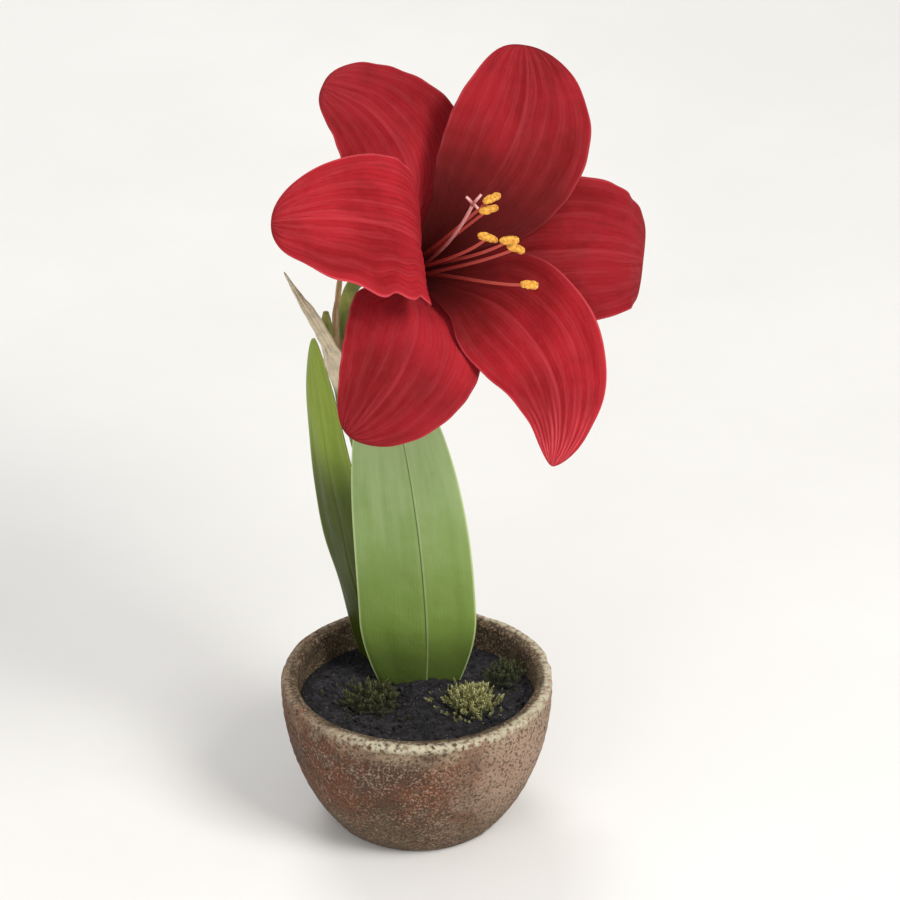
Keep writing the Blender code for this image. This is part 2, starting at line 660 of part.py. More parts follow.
def make_stamens(collection, stalk, pollen):
    for number, (angle, end) in enumerate(STAMENS, 1):
        points = filament_path(angle, end)
        radii = np.linspace(FILAMENT_RADIUS, 0.75 * FILAMENT_RADIUS, len(points))
        tube(f"filament_{number}", points, radii, collection, stalk)
        heading = (points[-1] - points[-2]).normalized()
        axis, right, up = bloom_frame()
        lean = right + up * (0.5 - 0.25 * number) * 0.6
        lie = (lean - heading * lean.dot(heading)).normalized()
        shape = bmesh.new()
        bmesh.ops.create_uvsphere(shape, u_segments=8, v_segments=6, radius=1)
        mesh = bpy.data.meshes.new(f"anther_{number}")
        shape.to_mesh(mesh)
        shape.free()
        for vertex in mesh.vertices:
            x, y, z = vertex.co.z * ANTHER_SIZE[0], vertex.co.x * ANTHER_SIZE[1], vertex.co.y * ANTHER_SIZE[2]
            vertex.co = (x, y, z - 30 * x * x)
        mesh.shade_smooth()
        turn = Matrix((lie, heading.cross(lie), heading)).transposed().to_4x4()
        place = points[-1] + heading * (ANTHER_SIZE[2] + GAP)
        mesh.transform(Matrix.Translation(place) @ turn)
        add_object(f"anther_{number}", mesh, collection, pollen)


def make_style(collection, material):
    """The style, with the stigma's three lobes fused to its end."""
    path = ((0, 0, TEPAL_START), (0, 0, THROAT_LENGTH),
            (0.45 * STYLE_TIP[0], 0.35 * STYLE_TIP[1], 0.68 * STYLE_TIP[2]), STYLE_TIP)
    points = [in_bloom(p) for p in bezier(path, np.linspace(0, 1, 12))]
    style = bake(tube("style_and_stigma", points, [STYLE_RADIUS] * len(points), collection, material))
    heading = (points[-1] - points[-2]).normalized()
    side = heading.orthogonal().normalized()
    lobes = []
    for number in range(3):
        out = Matrix.Rotation(2 * pi * number / 3, 3, heading) @ side
        root = points[-1] - heading * STYLE_RADIUS
        bend = [root + heading * STIGMA_LOBE * s + out * STIGMA_LOBE * 0.75 * s ** 1.6
                for s in np.linspace(0, 1, 5)]
        lobe = bake(tube("lobe", bend, np.linspace(0.00050, 0.00035, 5), collection))
        lobes.append(lobe.data.copy())
        bpy.data.objects.remove(lobe)
    fuse(style, lobes)


def main():
    for item in list(bpy.data.objects):
        bpy.data.objects.remove(item)
    model = bpy.data.collections.new("amaryllis_in_pot")
    cutters = bpy.data.collections.new("cutters")
    for collection in (model, cutters):
        bpy.context.scene.collection.children.link(collection)

    make_pot(model, cutters, new_material("clay", (0.36, 0.19, 0.12), 0.9))
    make_bulb(model, new_material("bulb_skin", (0.38, 0.22, 0.12), 0.7))
    make_soil(model, cutters, new_material("loam", (0.03, 0.025, 0.022), 1.0))
    make_moss(model, new_material("moss", (0.14, 0.18, 0.03), 0.95))
    make_scape(model, new_material("scape_green", (0.16, 0.26, 0.07), 0.5))
    make_leaves(model, new_material("leaf_green", (0.18, 0.30, 0.10), 0.45))
    make_spathe(model, new_material("dry_sheath", (0.42, 0.35, 0.25), 0.8))
    make_pedicel(model, new_material("ovary_green", (0.12, 0.20, 0.06), 0.5))
    make_bud(model, new_material("bud_green", (0.16, 0.24, 0.08), 0.55))
    make_cup(model, new_material("cup_green", (0.20, 0.18, 0.06), 0.55))
    make_tepals(model, new_material("petal_red", (0.38, 0.01, 0.02), 0.6))
    make_stamens(model, new_material("filament_red", (0.55, 0.08, 0.08), 0.5),
                 new_material("pollen", (0.75, 0.42, 0.06), 0.8))
    make_style(model, new_material("style_pink", (0.65, 0.22, 0.20), 0.5))


main()
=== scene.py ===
"""The finished look of an amaryllis in an old clay pot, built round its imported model. Metres, +Z up.

The pot's foot is centred on the origin, -Y is the plant's front and +X its right.
"""
from collections import namedtuple
from math import comb, cos, hypot, pi, radians, sin, tau

import bpy
import numpy as np
from mathutils import Matrix, Vector


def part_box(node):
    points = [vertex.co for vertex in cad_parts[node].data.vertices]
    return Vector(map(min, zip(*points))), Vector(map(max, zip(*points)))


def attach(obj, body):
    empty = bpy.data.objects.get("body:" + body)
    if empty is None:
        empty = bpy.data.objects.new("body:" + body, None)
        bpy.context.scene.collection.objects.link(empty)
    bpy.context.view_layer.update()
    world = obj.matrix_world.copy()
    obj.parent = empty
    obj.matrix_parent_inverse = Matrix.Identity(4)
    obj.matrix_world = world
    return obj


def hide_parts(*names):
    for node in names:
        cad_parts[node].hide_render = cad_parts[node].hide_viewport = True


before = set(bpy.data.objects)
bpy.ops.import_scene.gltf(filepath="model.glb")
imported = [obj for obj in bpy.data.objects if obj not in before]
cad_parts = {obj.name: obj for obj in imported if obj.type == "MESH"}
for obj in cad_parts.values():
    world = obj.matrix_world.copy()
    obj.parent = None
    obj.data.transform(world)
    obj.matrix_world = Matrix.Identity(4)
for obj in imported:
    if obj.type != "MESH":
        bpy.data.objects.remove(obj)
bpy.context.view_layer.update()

# Pot and soil
POT_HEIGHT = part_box("pot")[1].z
POT_RIM_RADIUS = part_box("pot")[1].x
POT_FOOT_RADIUS, POT_WALL, POT_FLOOR = 0.03, 0.006, 0.006
POT_BELLY, POT_TUCK = 2.2, 0.87  # how long its wall stays upright, and how sharply it rounds in below
OUTER_ARRIS, INNER_ARRIS = 0.0011, 0.0019
WEEP_HOLE_RADIUS, WEEP_HOLE_CIRCLE = 0.0025, 0.016
SOIL_TOP = POT_HEIGHT - 0.011
SOIL_SWELL = 0.001
GAP, SEAT_GAP = 0.0003, 0.00005  # between neighbours, and where a stalk sits on the scape's end
SLOT_MARGIN = 0.0004  # round what grows out of the soil
CRUMBS, CRUMBS_OFF_WALL = 1500, 0.0016
MOSS_OFF_WALL = 0.0035

BULB_CENTRE = (-0.001, 0.0175)
BULB_RADIUS, BULB_NECK_RADIUS = 0.0158, 0.0138
BULB_BOTTOM, BULB_TOP = 0.012, 0.0385
GROWING_HEIGHT = 0.0402

# Stalks
SCAPE_PATH = ((0.001, 0.024, GROWING_HEIGHT), (-0.004, 0.027, 0.09), (-0.018, 0.025, 0.13),
              (-0.024, 0.022, 0.166))
SCAPE_RADIUS, SCAPE_TOP_RADIUS = 0.0045, 0.005
PEDICEL_RADIUS, OVARY_RADIUS, PEDICEL_STUB = 0.0025, 0.0047, 0.002
PEDICEL_BEND = Vector((-0.0325, 0.026, 0.2235))
BUD_STALK_RADIUS, BUD_RADIUS = 0.0008, 0.0024
BUD_TIP = Vector((-0.0325, 0.0175, 0.2015))

# Bloom: its base, its axis, and the directions to its right and up
BLOOM_TURN, BLOOM_RISE = radians(29), radians(34)
BASE = Vector((-0.004, 0.0115, 0.2205))
AXIS = Vector((cos(BLOOM_RISE) * sin(BLOOM_TURN), -cos(BLOOM_RISE) * cos(BLOOM_TURN), sin(BLOOM_RISE)))
RIGHT = Vector((cos(BLOOM_TURN), sin(BLOOM_TURN), 0))
UP = RIGHT.cross(-AXIS).normalized()
CUP_LENGTH, CUP_TOP = 0.0087, 0.0027
CUP_BACK_RADIUS, CUP_FRONT_RADIUS = 0.0036, 0.0076
TEPAL_START = 0.0032
TUBE_SHARE = 0.8
INNER_RADIUS, OUTER_RADIUS = 0.0046, 0.0068
KEEL, RIB = 0.0009, 0.0001  # depth of a tepal's middle groove, and height of its fine ribs
TRIM_PLACE, TRIM_REACH = 0.5, 0.13  # where a tepal's trimmed side is narrowest, and how far that fades
FILL_FROM, FILL_OVER = 0.62, 0.12  # where its added width begins, and the share it grows over
SCALLOP_AT, SCALLOP_PITCH = 0.6875, 0.13
STAMEN_CIRCLE = 0.003
FILAMENT_RADIUS, STYLE_RADIUS = 0.0007, 0.0006
ANTHER_SIZE = (0.0039, 0.00145, 0.00125)
STYLE_TIP = (-0.0041, 0.0136, 0.078)
STIGMA_LOBE = 0.0042

# Blades: their wall, their wall at the edge, and how far in from the edge it thins
TEPAL_WALL = (0.0008, 0.0003, 0.0022)
LEAF_WALL = (0.0014, 0.0006, 0.0022)
SPATHE_WALL = (0.0007, 0.0003, 0.0015)
TEPAL_GRID, LEAF_GRID, SPATHE_GRID = (141, 73), (161, 81), (90, 37)  # rows along and columns across

# Camera: the angle at which the plant is seen, and the width that the picture takes in
CAMERA_AIM = Vector((0.0122, 0, 0.154))
CAMERA_RISE = radians(30)
CAMERA_DISTANCE = 2.2
VIEW_WIDTH = 0.3254
SENSOR = 36  # millimetres, as the lens

# Tepals: angles are in degrees; trim, fill and scallop narrow, widen and wave the lower side
Tepal = namedtuple("Tepal", "name radius seat shift bend length half_width rise curl delay blunt widest cup "
                   "flat_by swell free_from spread lean ruffle waves wave_start frill trim fill scallop",
                   defaults=(0.55, 1.3, 0.35, 1.5, 0, 0.0012, 2, 0, 0.0004, 0, 0, 0))
TEPALS = (
    Tepal("tepal_right", OUTER_RADIUS, 351.5, -1.5, -3, 0.097, 0.0266, 17.5, 140, 1.21, 0.3, 0.48, 3,
          swell=1.35, free_from=0.37, spread=2.4, lean=-0.16, wave_start=0.2),
    Tepal("tepal_upper_left", OUTER_RADIUS, 109.5, -20, 20.5, 0.084, 0.0282, 18, 123, 1.09, 0.39, 0.55, 2,
          swell=1.35, free_from=0.36, spread=2.6, lean=-0.28, waves=2.4, wave_start=0.5),
    Tepal("tepal_lower_left", OUTER_RADIUS, 230.5, -0.5, -7, 0.0935, 0.027, 18, 140, 1.57, 0.53, 0.49, 2,
          spread=2, lean=-0.03, waves=1.8, wave_start=0.1, ruffle=0.001),
    Tepal("tepal_upper", INNER_RADIUS, 49, -10, 14, 0.101, 0.0266, 13.5, 119, 1.11, 0.45, 0.66, 9,
          flat_by=0.58, swell=1.5, free_from=0.29, spread=2.5, waves=1.7, ruffle=0.001),
    Tepal("tepal_left", INNER_RADIUS, 167, -13, 6.5, 0.1205, 0.0271, 2, 133, 1.62, 0.45, 0.51, 1,
          flat_by=0.27, swell=1.05, free_from=0.05, spread=1.2, lean=-0.38, waves=2.6, wave_start=0.6,
          frill=0.0007, trim=0.14, fill=0.13, scallop=0.035),
    Tepal("tepal_lower_right", INNER_RADIUS, 291.5, 12, -26, 0.1065, 0.022, 11, 118, 1.26, 0.65, 0.5, 12,
          swell=1.4, free_from=0.3, spread=3.1, lean=-0.28, waves=1.9, wave_start=0.3),
)
# Each tepal's tone (its reds made brighter or darker, as painted light and shade), the shares where its
# throat's dark ends and is full, its lines, pale tip and lift (painted light)
PETAL_LOOKS = ((0.72, (0.46, 0.14), 0.25, 0.15, 0), (0.75, (0.18, 0.02), 0.3, 0.15, 0.65),
               (0.7, (0.16, 0.02), 0.2, 0.15, 0.6), (0.76, (0.66, 0.22), 0.25, 0.15, 0),
               (1, (0.22, 0.06), 0.5, 0.15, 0.3), (0.95, (0.54, 0.14), 0.25, 1, 0))

# Blades along a path, facing from one way to another; creases are places across, widths and depths
Strap = namedtuple("Strap", "name path half_width base widest blunt face face_end fold hug hold rib creases",
                   defaults=(0, 1, 0, ()))
LEAVES = (
    Strap("leaf_front", ((0.001, 0.0125, GROWING_HEIGHT), (0.0015, 0.006, 0.085), (-0.002, 0, 0.13),
                         (-0.0115, 0.012, 0.182)),
          0.0218, 0.58, 0.27, 0.42, (0.06, -1, 0.1), (0.05, -1, 0.3), 9, hold=1.5, rib=0.12,
          creases=((0.12, 0.03, 0.0005), (0.66, 0.09, 0.0003), (-0.55, 0.12, 0.0002))),
    Strap("leaf_left", ((-0.013, 0.0262, GROWING_HEIGHT), (-0.0235, 0.028, 0.085), (-0.0358, 0.03, 0.132),
                        (-0.0372, 0.034, 0.1815)),
          0.0142, 0.7, 0.42, 0.6, (-0.72, -0.69, 0.1), (-0.8, -0.6, 0.2), 10,
          creases=((0, 0.05, 0.0005), (0.5, 0.12, 0.0002))),
)

# Sheaths: each one's side of the scape in degrees, its path, half its width and where its tip faces
SPATHES = (
    ("spathe_front", 232, ((-0.0235, 0.0115, 0.184), (-0.038, 0.009, 0.204), (-0.047, 0.0105, 0.2215)),
     0.0054, (-0.2, -1, 0.1)),
    ("spathe_back", 132, ((-0.03, 0.029, 0.182), (-0.028, 0.03, 0.2), (-0.0265, 0.0275, 0.221)),
     0.0041, (-0.55, 0.8, 0.1)))

# Moss cushions: place on the soil, radius, height, number of shoots
MOSS = (("moss_right", (0.02, -0.0025), 0.0078, 0.0024, 150),
        ("moss_left", (-0.0165, -0.001), 0.009, 0.0016, 120),
        ("moss_back", (0.033, 0.013), 0.006, 0.0014, 60))
MOSS_LEAF = ((0, 1, 2, 3), (3, 2, 4), (1, 0, 5), (2, 1, 5), (0, 3, 5), (4, 2, 5), (3, 4, 5))
GOLDEN_ANGLE = radians(137.5)

# Stamens: the angle of each foot round the style, and where its anther sits
STAMENS = ((120, (0.0034, 0.0137, 0.077)), (60, (0.0035, 0.0105, 0.072)), (0, (0.0058, -0.0018, 0.0765)),
           (300, (0.0097, -0.018, 0.074)), (240, (0.0098, -0.0048, 0.071)), (180, (0.0006, 0.0012, 0.0712)))

SCAPE_GREEN = (0.09, 0.16, 0.03)
# Painted light: the red that brightens the tepals' lower halves
PAINTED_LIGHT_RED = (0.6, 0.03, 0.045)


def unit(v):
    """Rows of an array made one long."""
    return v / np.linalg.norm(v, axis=-1, keepdims=True)


def ease(x):
    """0 below 0, 1 above 1, and smooth between."""
    x = np.clip(x, 0, 1)
    return x * x * (3 - 2 * x)


def bezier(points, v):
    """Points at the shares v along the Bezier curve with these control points."""
    points = np.asarray(points, float)
    n = len(points) - 1
    v = np.asarray(v, float)[:, None]
    return sum(comb(n, i) * (1 - v) ** (n - i) * v ** i * points[i] for i in range(n + 1))


def along(points, v):
    """Directions of the Bezier curve at the shares v."""
    return unit(bezier(points, np.asarray(v) + 1e-3) - bezier(points, np.asarray(v) - 1e-3))


def rows_to_tip(count, crowd=1.6):
    """Shares along a blade, closer together towards its tip."""
    return 1 - (1 - np.linspace(0, 1, count)) ** crowd


def drift(seed, x, y):
    """A smooth random surface between about -1 and 1, from five long sine waves."""
    draw = np.random.default_rng(seed)
    total = 0
    for _ in range(5):
        angle, length = draw.uniform(0, tau), draw.uniform(0.7, 1.6)
        total += np.sin(tau * length * (x * cos(angle) + y * sin(angle)) + draw.uniform(0, tau))
    return total / 5 ** 0.5


def in_bloom(place):
    """World position of (right, up, out) measured from the bloom's base."""
    return BASE + RIGHT * place[0] + UP * place[1] + AXIS * place[2]


def soil_top(x, y):
    """Height of the soil's uneven top, calm at the pot's wall."""
    calm = 1 - 0.6 * (x * x + y * y) / POT_RIM_RADIUS ** 2
    swell = np.sin(170 * x + 1) + np.sin(190 * y - 0.6) + 0.7 * np.sin(150 * (x - y) + 2)
    return SOIL_TOP + SOIL_SWELL * calm * swell


# Nodes and node groups

class Nodes:
    """Short ways of adding nodes to one tree."""
    place = None  # the vector that patterns read where they are given no other

    def __init__(self, tree):
        self.tree = tree

    def put(self, value, socket):
        """Links a node's socket to this one, or sets a plain value."""
        if isinstance(value, bpy.types.NodeSocket):
            self.tree.links.new(value, socket)
        else:
            socket.default_value = (*value, 1) if socket.type == "RGBA" else value

    def add(self, kind, inputs=None, **settings):
        item = self.tree.nodes.new("ShaderNode" + kind)
        for key, value in settings.items():
            setattr(item, key, value)
        for socket, value in (inputs or {}).items():
            self.put(value, item.inputs[socket])
        return item

    def maths(self, operation, a, b=0, c=0, clamp=False):
        return self.add("Math", {0: a, 1: b, 2: c}, operation=operation, use_clamp=clamp).outputs[0]

    def times(self, first, *others):
        for other in others:
            first = self.maths("MULTIPLY", first, other)
        return first

    def total(self, *pairs):
        """Sum of values, each with its weight."""
        values = [value if weight == 1 else self.times(value, weight) for value, weight in pairs]
        for value in values[1:]:
            values[0] = self.maths("ADD", values[0], value)
        return values[0]

    def span(self, value, low, high, out_low=0, out_high=1):
        """The range low to high, smoothly taken to the other range."""
        inputs = {"Value": value, "From Min": low, "From Max": high, "To Min": out_low, "To Max": out_high}
        return self.add("MapRange", inputs, interpolation_type="SMOOTHSTEP").outputs["Result"]

    def mix(self, factor, a, b):
        return self.add("Mix", {0: factor, 6: a, 7: b}, data_type="RGBA", clamp_factor=True).outputs[2]

    def stretch(self, vector, *scale):
        return self.add("Mapping", {"Vector": vector, "Scale": scale}).outputs[0]

    def grain(self, scale, detail=3, roughness=0.55, vector=None):
        """Cloudy noise over the piece, or over another vector."""
        inputs = {"Vector": vector or self.place, "Scale": scale, "Detail": detail, "Roughness": roughness}
        return self.add("TexNoise", inputs).outputs["Fac"]


def new_group(name, inputs, output, kind):
    """An empty node group: its nodes, its inputs and its output."""
    tree = bpy.data.node_groups.new(name, "ShaderNodeTree")
    for label in inputs:
        shape = {"Vector": "Vector", "UV": "Vector", "Colour": "Color", "Patches": "Color"}
        tree.interface.new_socket(label, in_out="INPUT", socket_type="NodeSocket" + shape.get(label, "Float"))
    tree.interface.new_socket(output, in_out="OUTPUT", socket_type="NodeSocket" + kind)
    given = tree.nodes.new("NodeGroupInput").outputs
    return Nodes(tree), given, tree.nodes.new("NodeGroupOutput").inputs[output]


def mottle_group():
    """Cloudy patches of one colour laid over another."""
    names = ("Vector", "Scale", "Low", "High", "Colour", "Patches")
    group, given, wanted = new_group("mottle", names, "Colour", "Color")
    cloud = group.grain(given["Scale"], 5, 0.6, given["Vector"])
    mask = group.span(cloud, given["Low"], given["High"])
    group.put(group.mix(mask, given["Colour"], given["Patches"]), wanted)
    return group.tree


def veins_group():
    """Fine lines along a blade, wandering a little and fading in and out."""
    group, given, wanted = new_group("long_veins", ("UV", "Count", "Wander", "Sharpness"), "Lines", "Float")
    uv = given["UV"]
    sway = group.maths("SUBTRACT", group.grain(2, 2, vector=group.stretch(uv, 4, 1.6, 1)), 0.5)
    across = group.add("SeparateXYZ", {"Vector": uv}).outputs["X"]
    turns = group.times(group.total((across, 1), (sway, given["Wander"])), given["Count"], tau)
    wave = group.maths("MULTIPLY_ADD", group.maths("SINE", turns), 0.5, 0.5)
    line = group.maths("POWER", wave, given["Sharpness"])
    fade = group.span(group.grain(3, vector=group.stretch(uv, 9, 2, 1)), 0.3, 0.65, 0.25, 1)
    group.put(group.times(line, fade), wanted)
    return group.tree


def specks_group():
    """Scattered dots of uneven size."""
    group, given, wanted = new_group("specks", ("Vector", "Scale", "Share"), "Mask", "Float")
    cells = group.add("TexVoronoi", {"Vector": given["Vector"], "Scale": given["Scale"], "Randomness": 1})
    pick = group.add("SeparateColor", {"Color": cells.outputs["Color"]}).outputs["Red"]
    size = group.maths("MULTIPLY_ADD", pick, -0.6, 0.5)
    dot = group.maths("SUBTRACT", size, cells.outputs["Distance"])
    soft = group.maths("MULTIPLY", dot, 6, clamp=True)
    group.put(group.times(soft, group.maths("LESS_THAN", pick, given["Share"])), wanted)
    return group.tree


MOTTLE, VEINS, SPECKS = mottle_group(), veins_group(), specks_group()


class Skin(Nodes):
    """A material in the making, with its colour so far."""

    def __init__(self, name):
        self.material = bpy.data.materials.new(name)
        self.material.use_nodes = True
        super().__init__(self.material.node_tree)
        self.shader = self.tree.nodes["Principled BSDF"]
        self.place = self.add("TexCoord").outputs["Object"]

    def use_uv(self):
        """Takes up the piece's UV map, and gives the share along it."""
        self.uv = self.add("UVMap", uv_map="UVMap").outputs["UV"]
        self.across, share = self.add("SeparateXYZ", {"Vector": self.uv}).outputs[:2]
        return share

    def side(self):
        """0 along the middle line of a blade and 1 at its edges."""
        return self.maths("ABSOLUTE", self.maths("MULTIPLY_ADD", self.across, 2, -1))

    def use(self, group, **inputs):
        """Places a node group with its own values, and gives its output."""
        return self.add("Group", inputs, node_tree=group).outputs[0]

    def mottle(self, scale, colour, patches, low=0.4, high=0.6, vector=None):
        """Cloudy patches over a colour, which is plain or the colour so far."""
        self.colour = self.use(MOTTLE, Vector=vector or self.place, Scale=scale, Low=low, High=high,
                               Colour=colour, Patches=patches)

    def veins(self, count, wander, sharpness):
        return self.use(VEINS, UV=self.uv, Count=count, Wander=wander, Sharpness=sharpness)

    def specks(self, scale, share):
        return self.use(SPECKS, Vector=self.place, Scale=scale, Share=share)

    def patches(self, scale, detail, low, high, out_low=0, out_high=1):
        """A mask of noise between two of its heights."""
        return self.span(self.grain(scale, detail), low, high, out_low, out_high)

    def tint(self, mask, colour, strength=1):
        """Lays a colour over the colour so far, by a mask."""
        self.colour = self.mix(mask if strength == 1 else self.times(mask, strength), self.colour, colour)

    def fade(self, value, low, high, colour, strength=1):
        """Lays a colour over more and more as a value goes from low to high."""
        self.tint(self.span(value, low, high, 0, strength), colour)

    def finish(self, rough, relief, depth, gloss=0.5):
        """Links all to the shader, and gives the material."""
        normal = self.add("Bump", {"Height": relief, "Distance": depth, "Strength": 1}).outputs["Normal"]
        for socket, value in (("Base Color", self.colour), ("Roughness", rough), ("Normal", normal),
                              ("Specular IOR Level", gloss)):
            self.put(value, self.shader.inputs[socket])
        return self.material


# Materials: scales are in patches a metre, depths in metres, and shares run from 0 to 1

def shade_of(colour, tone, more=0):
    """A colour made darker or brighter."""
    return tuple(tone * c + more for c in colour)


def clay_material():
    """Old fired clay: orange and brown patches, a pale and dark grain, an olive rim edged with lime, painted
    light on its right side and painted shade on its left side and its foot.
    """
    skin = Skin("weathered_clay")
    x, y, height = skin.add("SeparateXYZ", {"Vector": skin.place}).outputs
    flat = skin.add("CombineXYZ", {"X": x, "Y": y}).outputs[0]
    radius = skin.add("VectorMath", {0: flat}, operation="LENGTH").outputs["Value"]
    skin.mottle(46, (0.074, 0.038, 0.023), (0.14, 0.049, 0.022), 0.4, 0.62)
    skin.mottle(120, skin.colour, (0.105, 0.071, 0.047), 0.48, 0.66)
    # Painted light: a pale wash over the pot's right side, where the key light falls, leaving its left side
    # darker
    uneven = skin.maths("MULTIPLY_ADD", skin.grain(60, 4), 0.05, -0.025)
    skin.tint(skin.span(skin.maths("ADD", x, uneven), 0.004, 0.04, 0, 0.72), (0.46, 0.325, 0.235))
    # Painted shade: the wall grows darker and more olive towards the foot, as under the pot's belly
    skin.fade(height, 0.034, 0.004, (0.115, 0.085, 0.05), 0.75)
    # The pale patina is real weathering, kept fainter on the left as painted shade
    patina = skin.times(skin.span(height, POT_HEIGHT - 0.011, POT_HEIGHT - 0.004),
                        skin.patches(130, 5, 0.36, 0.6), skin.span(x, -0.045, 0, 0.4, 0.75))
    skin.tint(patina, (0.33, 0.245, 0.16))
    inside = skin.span(radius, POT_RIM_RADIUS - 0.0022, POT_RIM_RADIUS - 0.0032)
    olive = skin.mix(skin.patches(210, 5, 0.4, 0.62), (0.11, 0.076, 0.04), (0.052, 0.035, 0.019))
    skin.tint(skin.times(inside, skin.span(height, 0.03, 0.04)), olive)
    salt = skin.times(skin.patches(1050, 3, 0.51, 0.58), skin.patches(75, 3, 0.36, 0.58, 0.25))
    skin.tint(salt, (0.43, 0.295, 0.205), 0.55)
    skin.tint(skin.patches(900, 3, 0.48, 0.41), (0.055, 0.034, 0.022), 0.72)
    pits = skin.specks(700, 0.09)
    skin.tint(pits, (0.045, 0.03, 0.02), 0.7)
    # The lime edge is real, and fades on the left as painted shade
    wander = skin.maths("MULTIPLY_ADD", skin.grain(190, 5), 0.003, -0.0015)
    lime = skin.times(
        skin.span(skin.maths("ADD", radius, wander), POT_RIM_RADIUS - 0.004, POT_RIM_RADIUS - 0.0014),
        skin.span(skin.maths("ADD", height, wander), POT_HEIGHT - 0.004, POT_HEIGHT - 0.0012),
        skin.patches(520, 4, 0.38, 0.56), skin.span(x, -0.045, -0.01, 0.15, 1))
    skin.tint(lime, (0.5, 0.46, 0.33))
    relief = skin.total((skin.grain(900, 6, 0.7), 1), (pits, -1.2), (salt, 0.4))
    return skin.finish(0.93, relief, 0.00035, 0.3)


def loam_material():
    """Damp dark potting loam with paler grit."""
    skin = Skin("potting_loam")
    skin.mottle(320, (0.0045, 0.004, 0.0055), (0.026, 0.022, 0.029), 0.4, 0.66)
    skin.tint(skin.specks(900, 0.07), (0.1, 0.09, 0.1), 0.6)
    return skin.finish(0.95, skin.grain(1400, 6, 0.7), 0.0005)


def moss_material(name, old, young):
    """Moss, young and bright at the ends of its shoots."""
    skin = Skin(name)
    skin.colour = skin.mix(skin.use_uv(), old, young)
    skin.tint(skin.patches(500, 3, 0.42, 0.6), old)
    return skin.finish(0.75, skin.grain(3000), 0.0001)


def moss_bed_material():
    """Dead brown moss and loam under the living shoots."""
    skin = Skin("moss_bed")
    skin.mottle(700, (0.007, 0.007, 0.005), (0.034, 0.035, 0.014), 0.42, 0.62)
    return skin.finish(0.95, skin.grain(1600, 5, 0.7), 0.0006)


def petal_material(name, deep, bright, line, throat, tone, reach, lined, pale_tip, lift):
    """Velvety red, brighter at the edges as painted sheen, with a painted highlight along its rim; `tone`
    brightens or darkens the tepal's reds as painted light and shade; `reach` is where the throat's dark, its
    own deeper red with painted shade, ends and is full, as shares of the length, `lined` how strong the fine
    dark lines are below, `pale_tip` the pale ones at the tip, and `lift` how much brighter the lower half is,
    as painted light."""
    skin = Skin(name)
    share, side = skin.use_uv(), skin.side()
    # Painted light and shade: `tone` gives each tepal a brighter or darker copy of the same reds
    deep, bright, line = (shade_of(colour, tone) for colour in (deep, bright, line))
    skin.mottle(38, deep, bright, 0.34, 0.66)
    # Painted light: the lower half brightened by `lift`, against the shade cast by the neighbouring tepals
    skin.fade(share, 0.54, 0.26, PAINTED_LIGHT_RED, lift)
    ribs, threads, fibres, tips = (skin.veins(*lines) for lines in (
        (8, 0.16, 1.8), (30, 0.09, 2.2), (95, 0.05, 1.2), (13, 0.05, 1.1)))
    skin.tint(ribs, line, 0.24)
    skin.tint(threads, shade_of(deep, 0.55), skin.span(share, 0.75, 0.4, 0.22, lined))
    skin.tint(fibres, deep, 0.2)
    skin.tint(skin.span(share, 0.55, 1, 0, pale_tip), shade_of(line, 1.35, 0.02), tips)
    skin.tint(skin.span(side, 0, 0.05, 0.28, 0), line)
    # Painted sheen: the blade brighter towards its edges
    skin.fade(side, 0.8, 1, bright, 0.6)
    # Painted highlight: a thin pale line along the rim
    skin.fade(side, 0.96, 0.992, line, 0.75)
    # The throat's dark: the petal's own deeper red there, deepened further as painted shade in the throat
    skin.tint(skin.span(skin.total((share, 1), (skin.grain(90), 0.12)), *reach), throat)
    crumple = skin.grain(2.6, 2.5, vector=skin.stretch(skin.uv, 5, 4, 1))
    relief = skin.total((ribs, 0.6), (threads, -0.7), (crumple, 8), (skin.grain(2200), 0.5))
    for socket, value in (("Weight", 0.03), ("Roughness", 0.4), ("Tint", (0.9, 0.15, 0.19))):
        skin.put(value, skin.shader.inputs["Sheen " + socket])
    return skin.finish(skin.patches(150, 3, 0.3, 0.7, 0.62, 0.74), relief, 0.00012, 0.1)


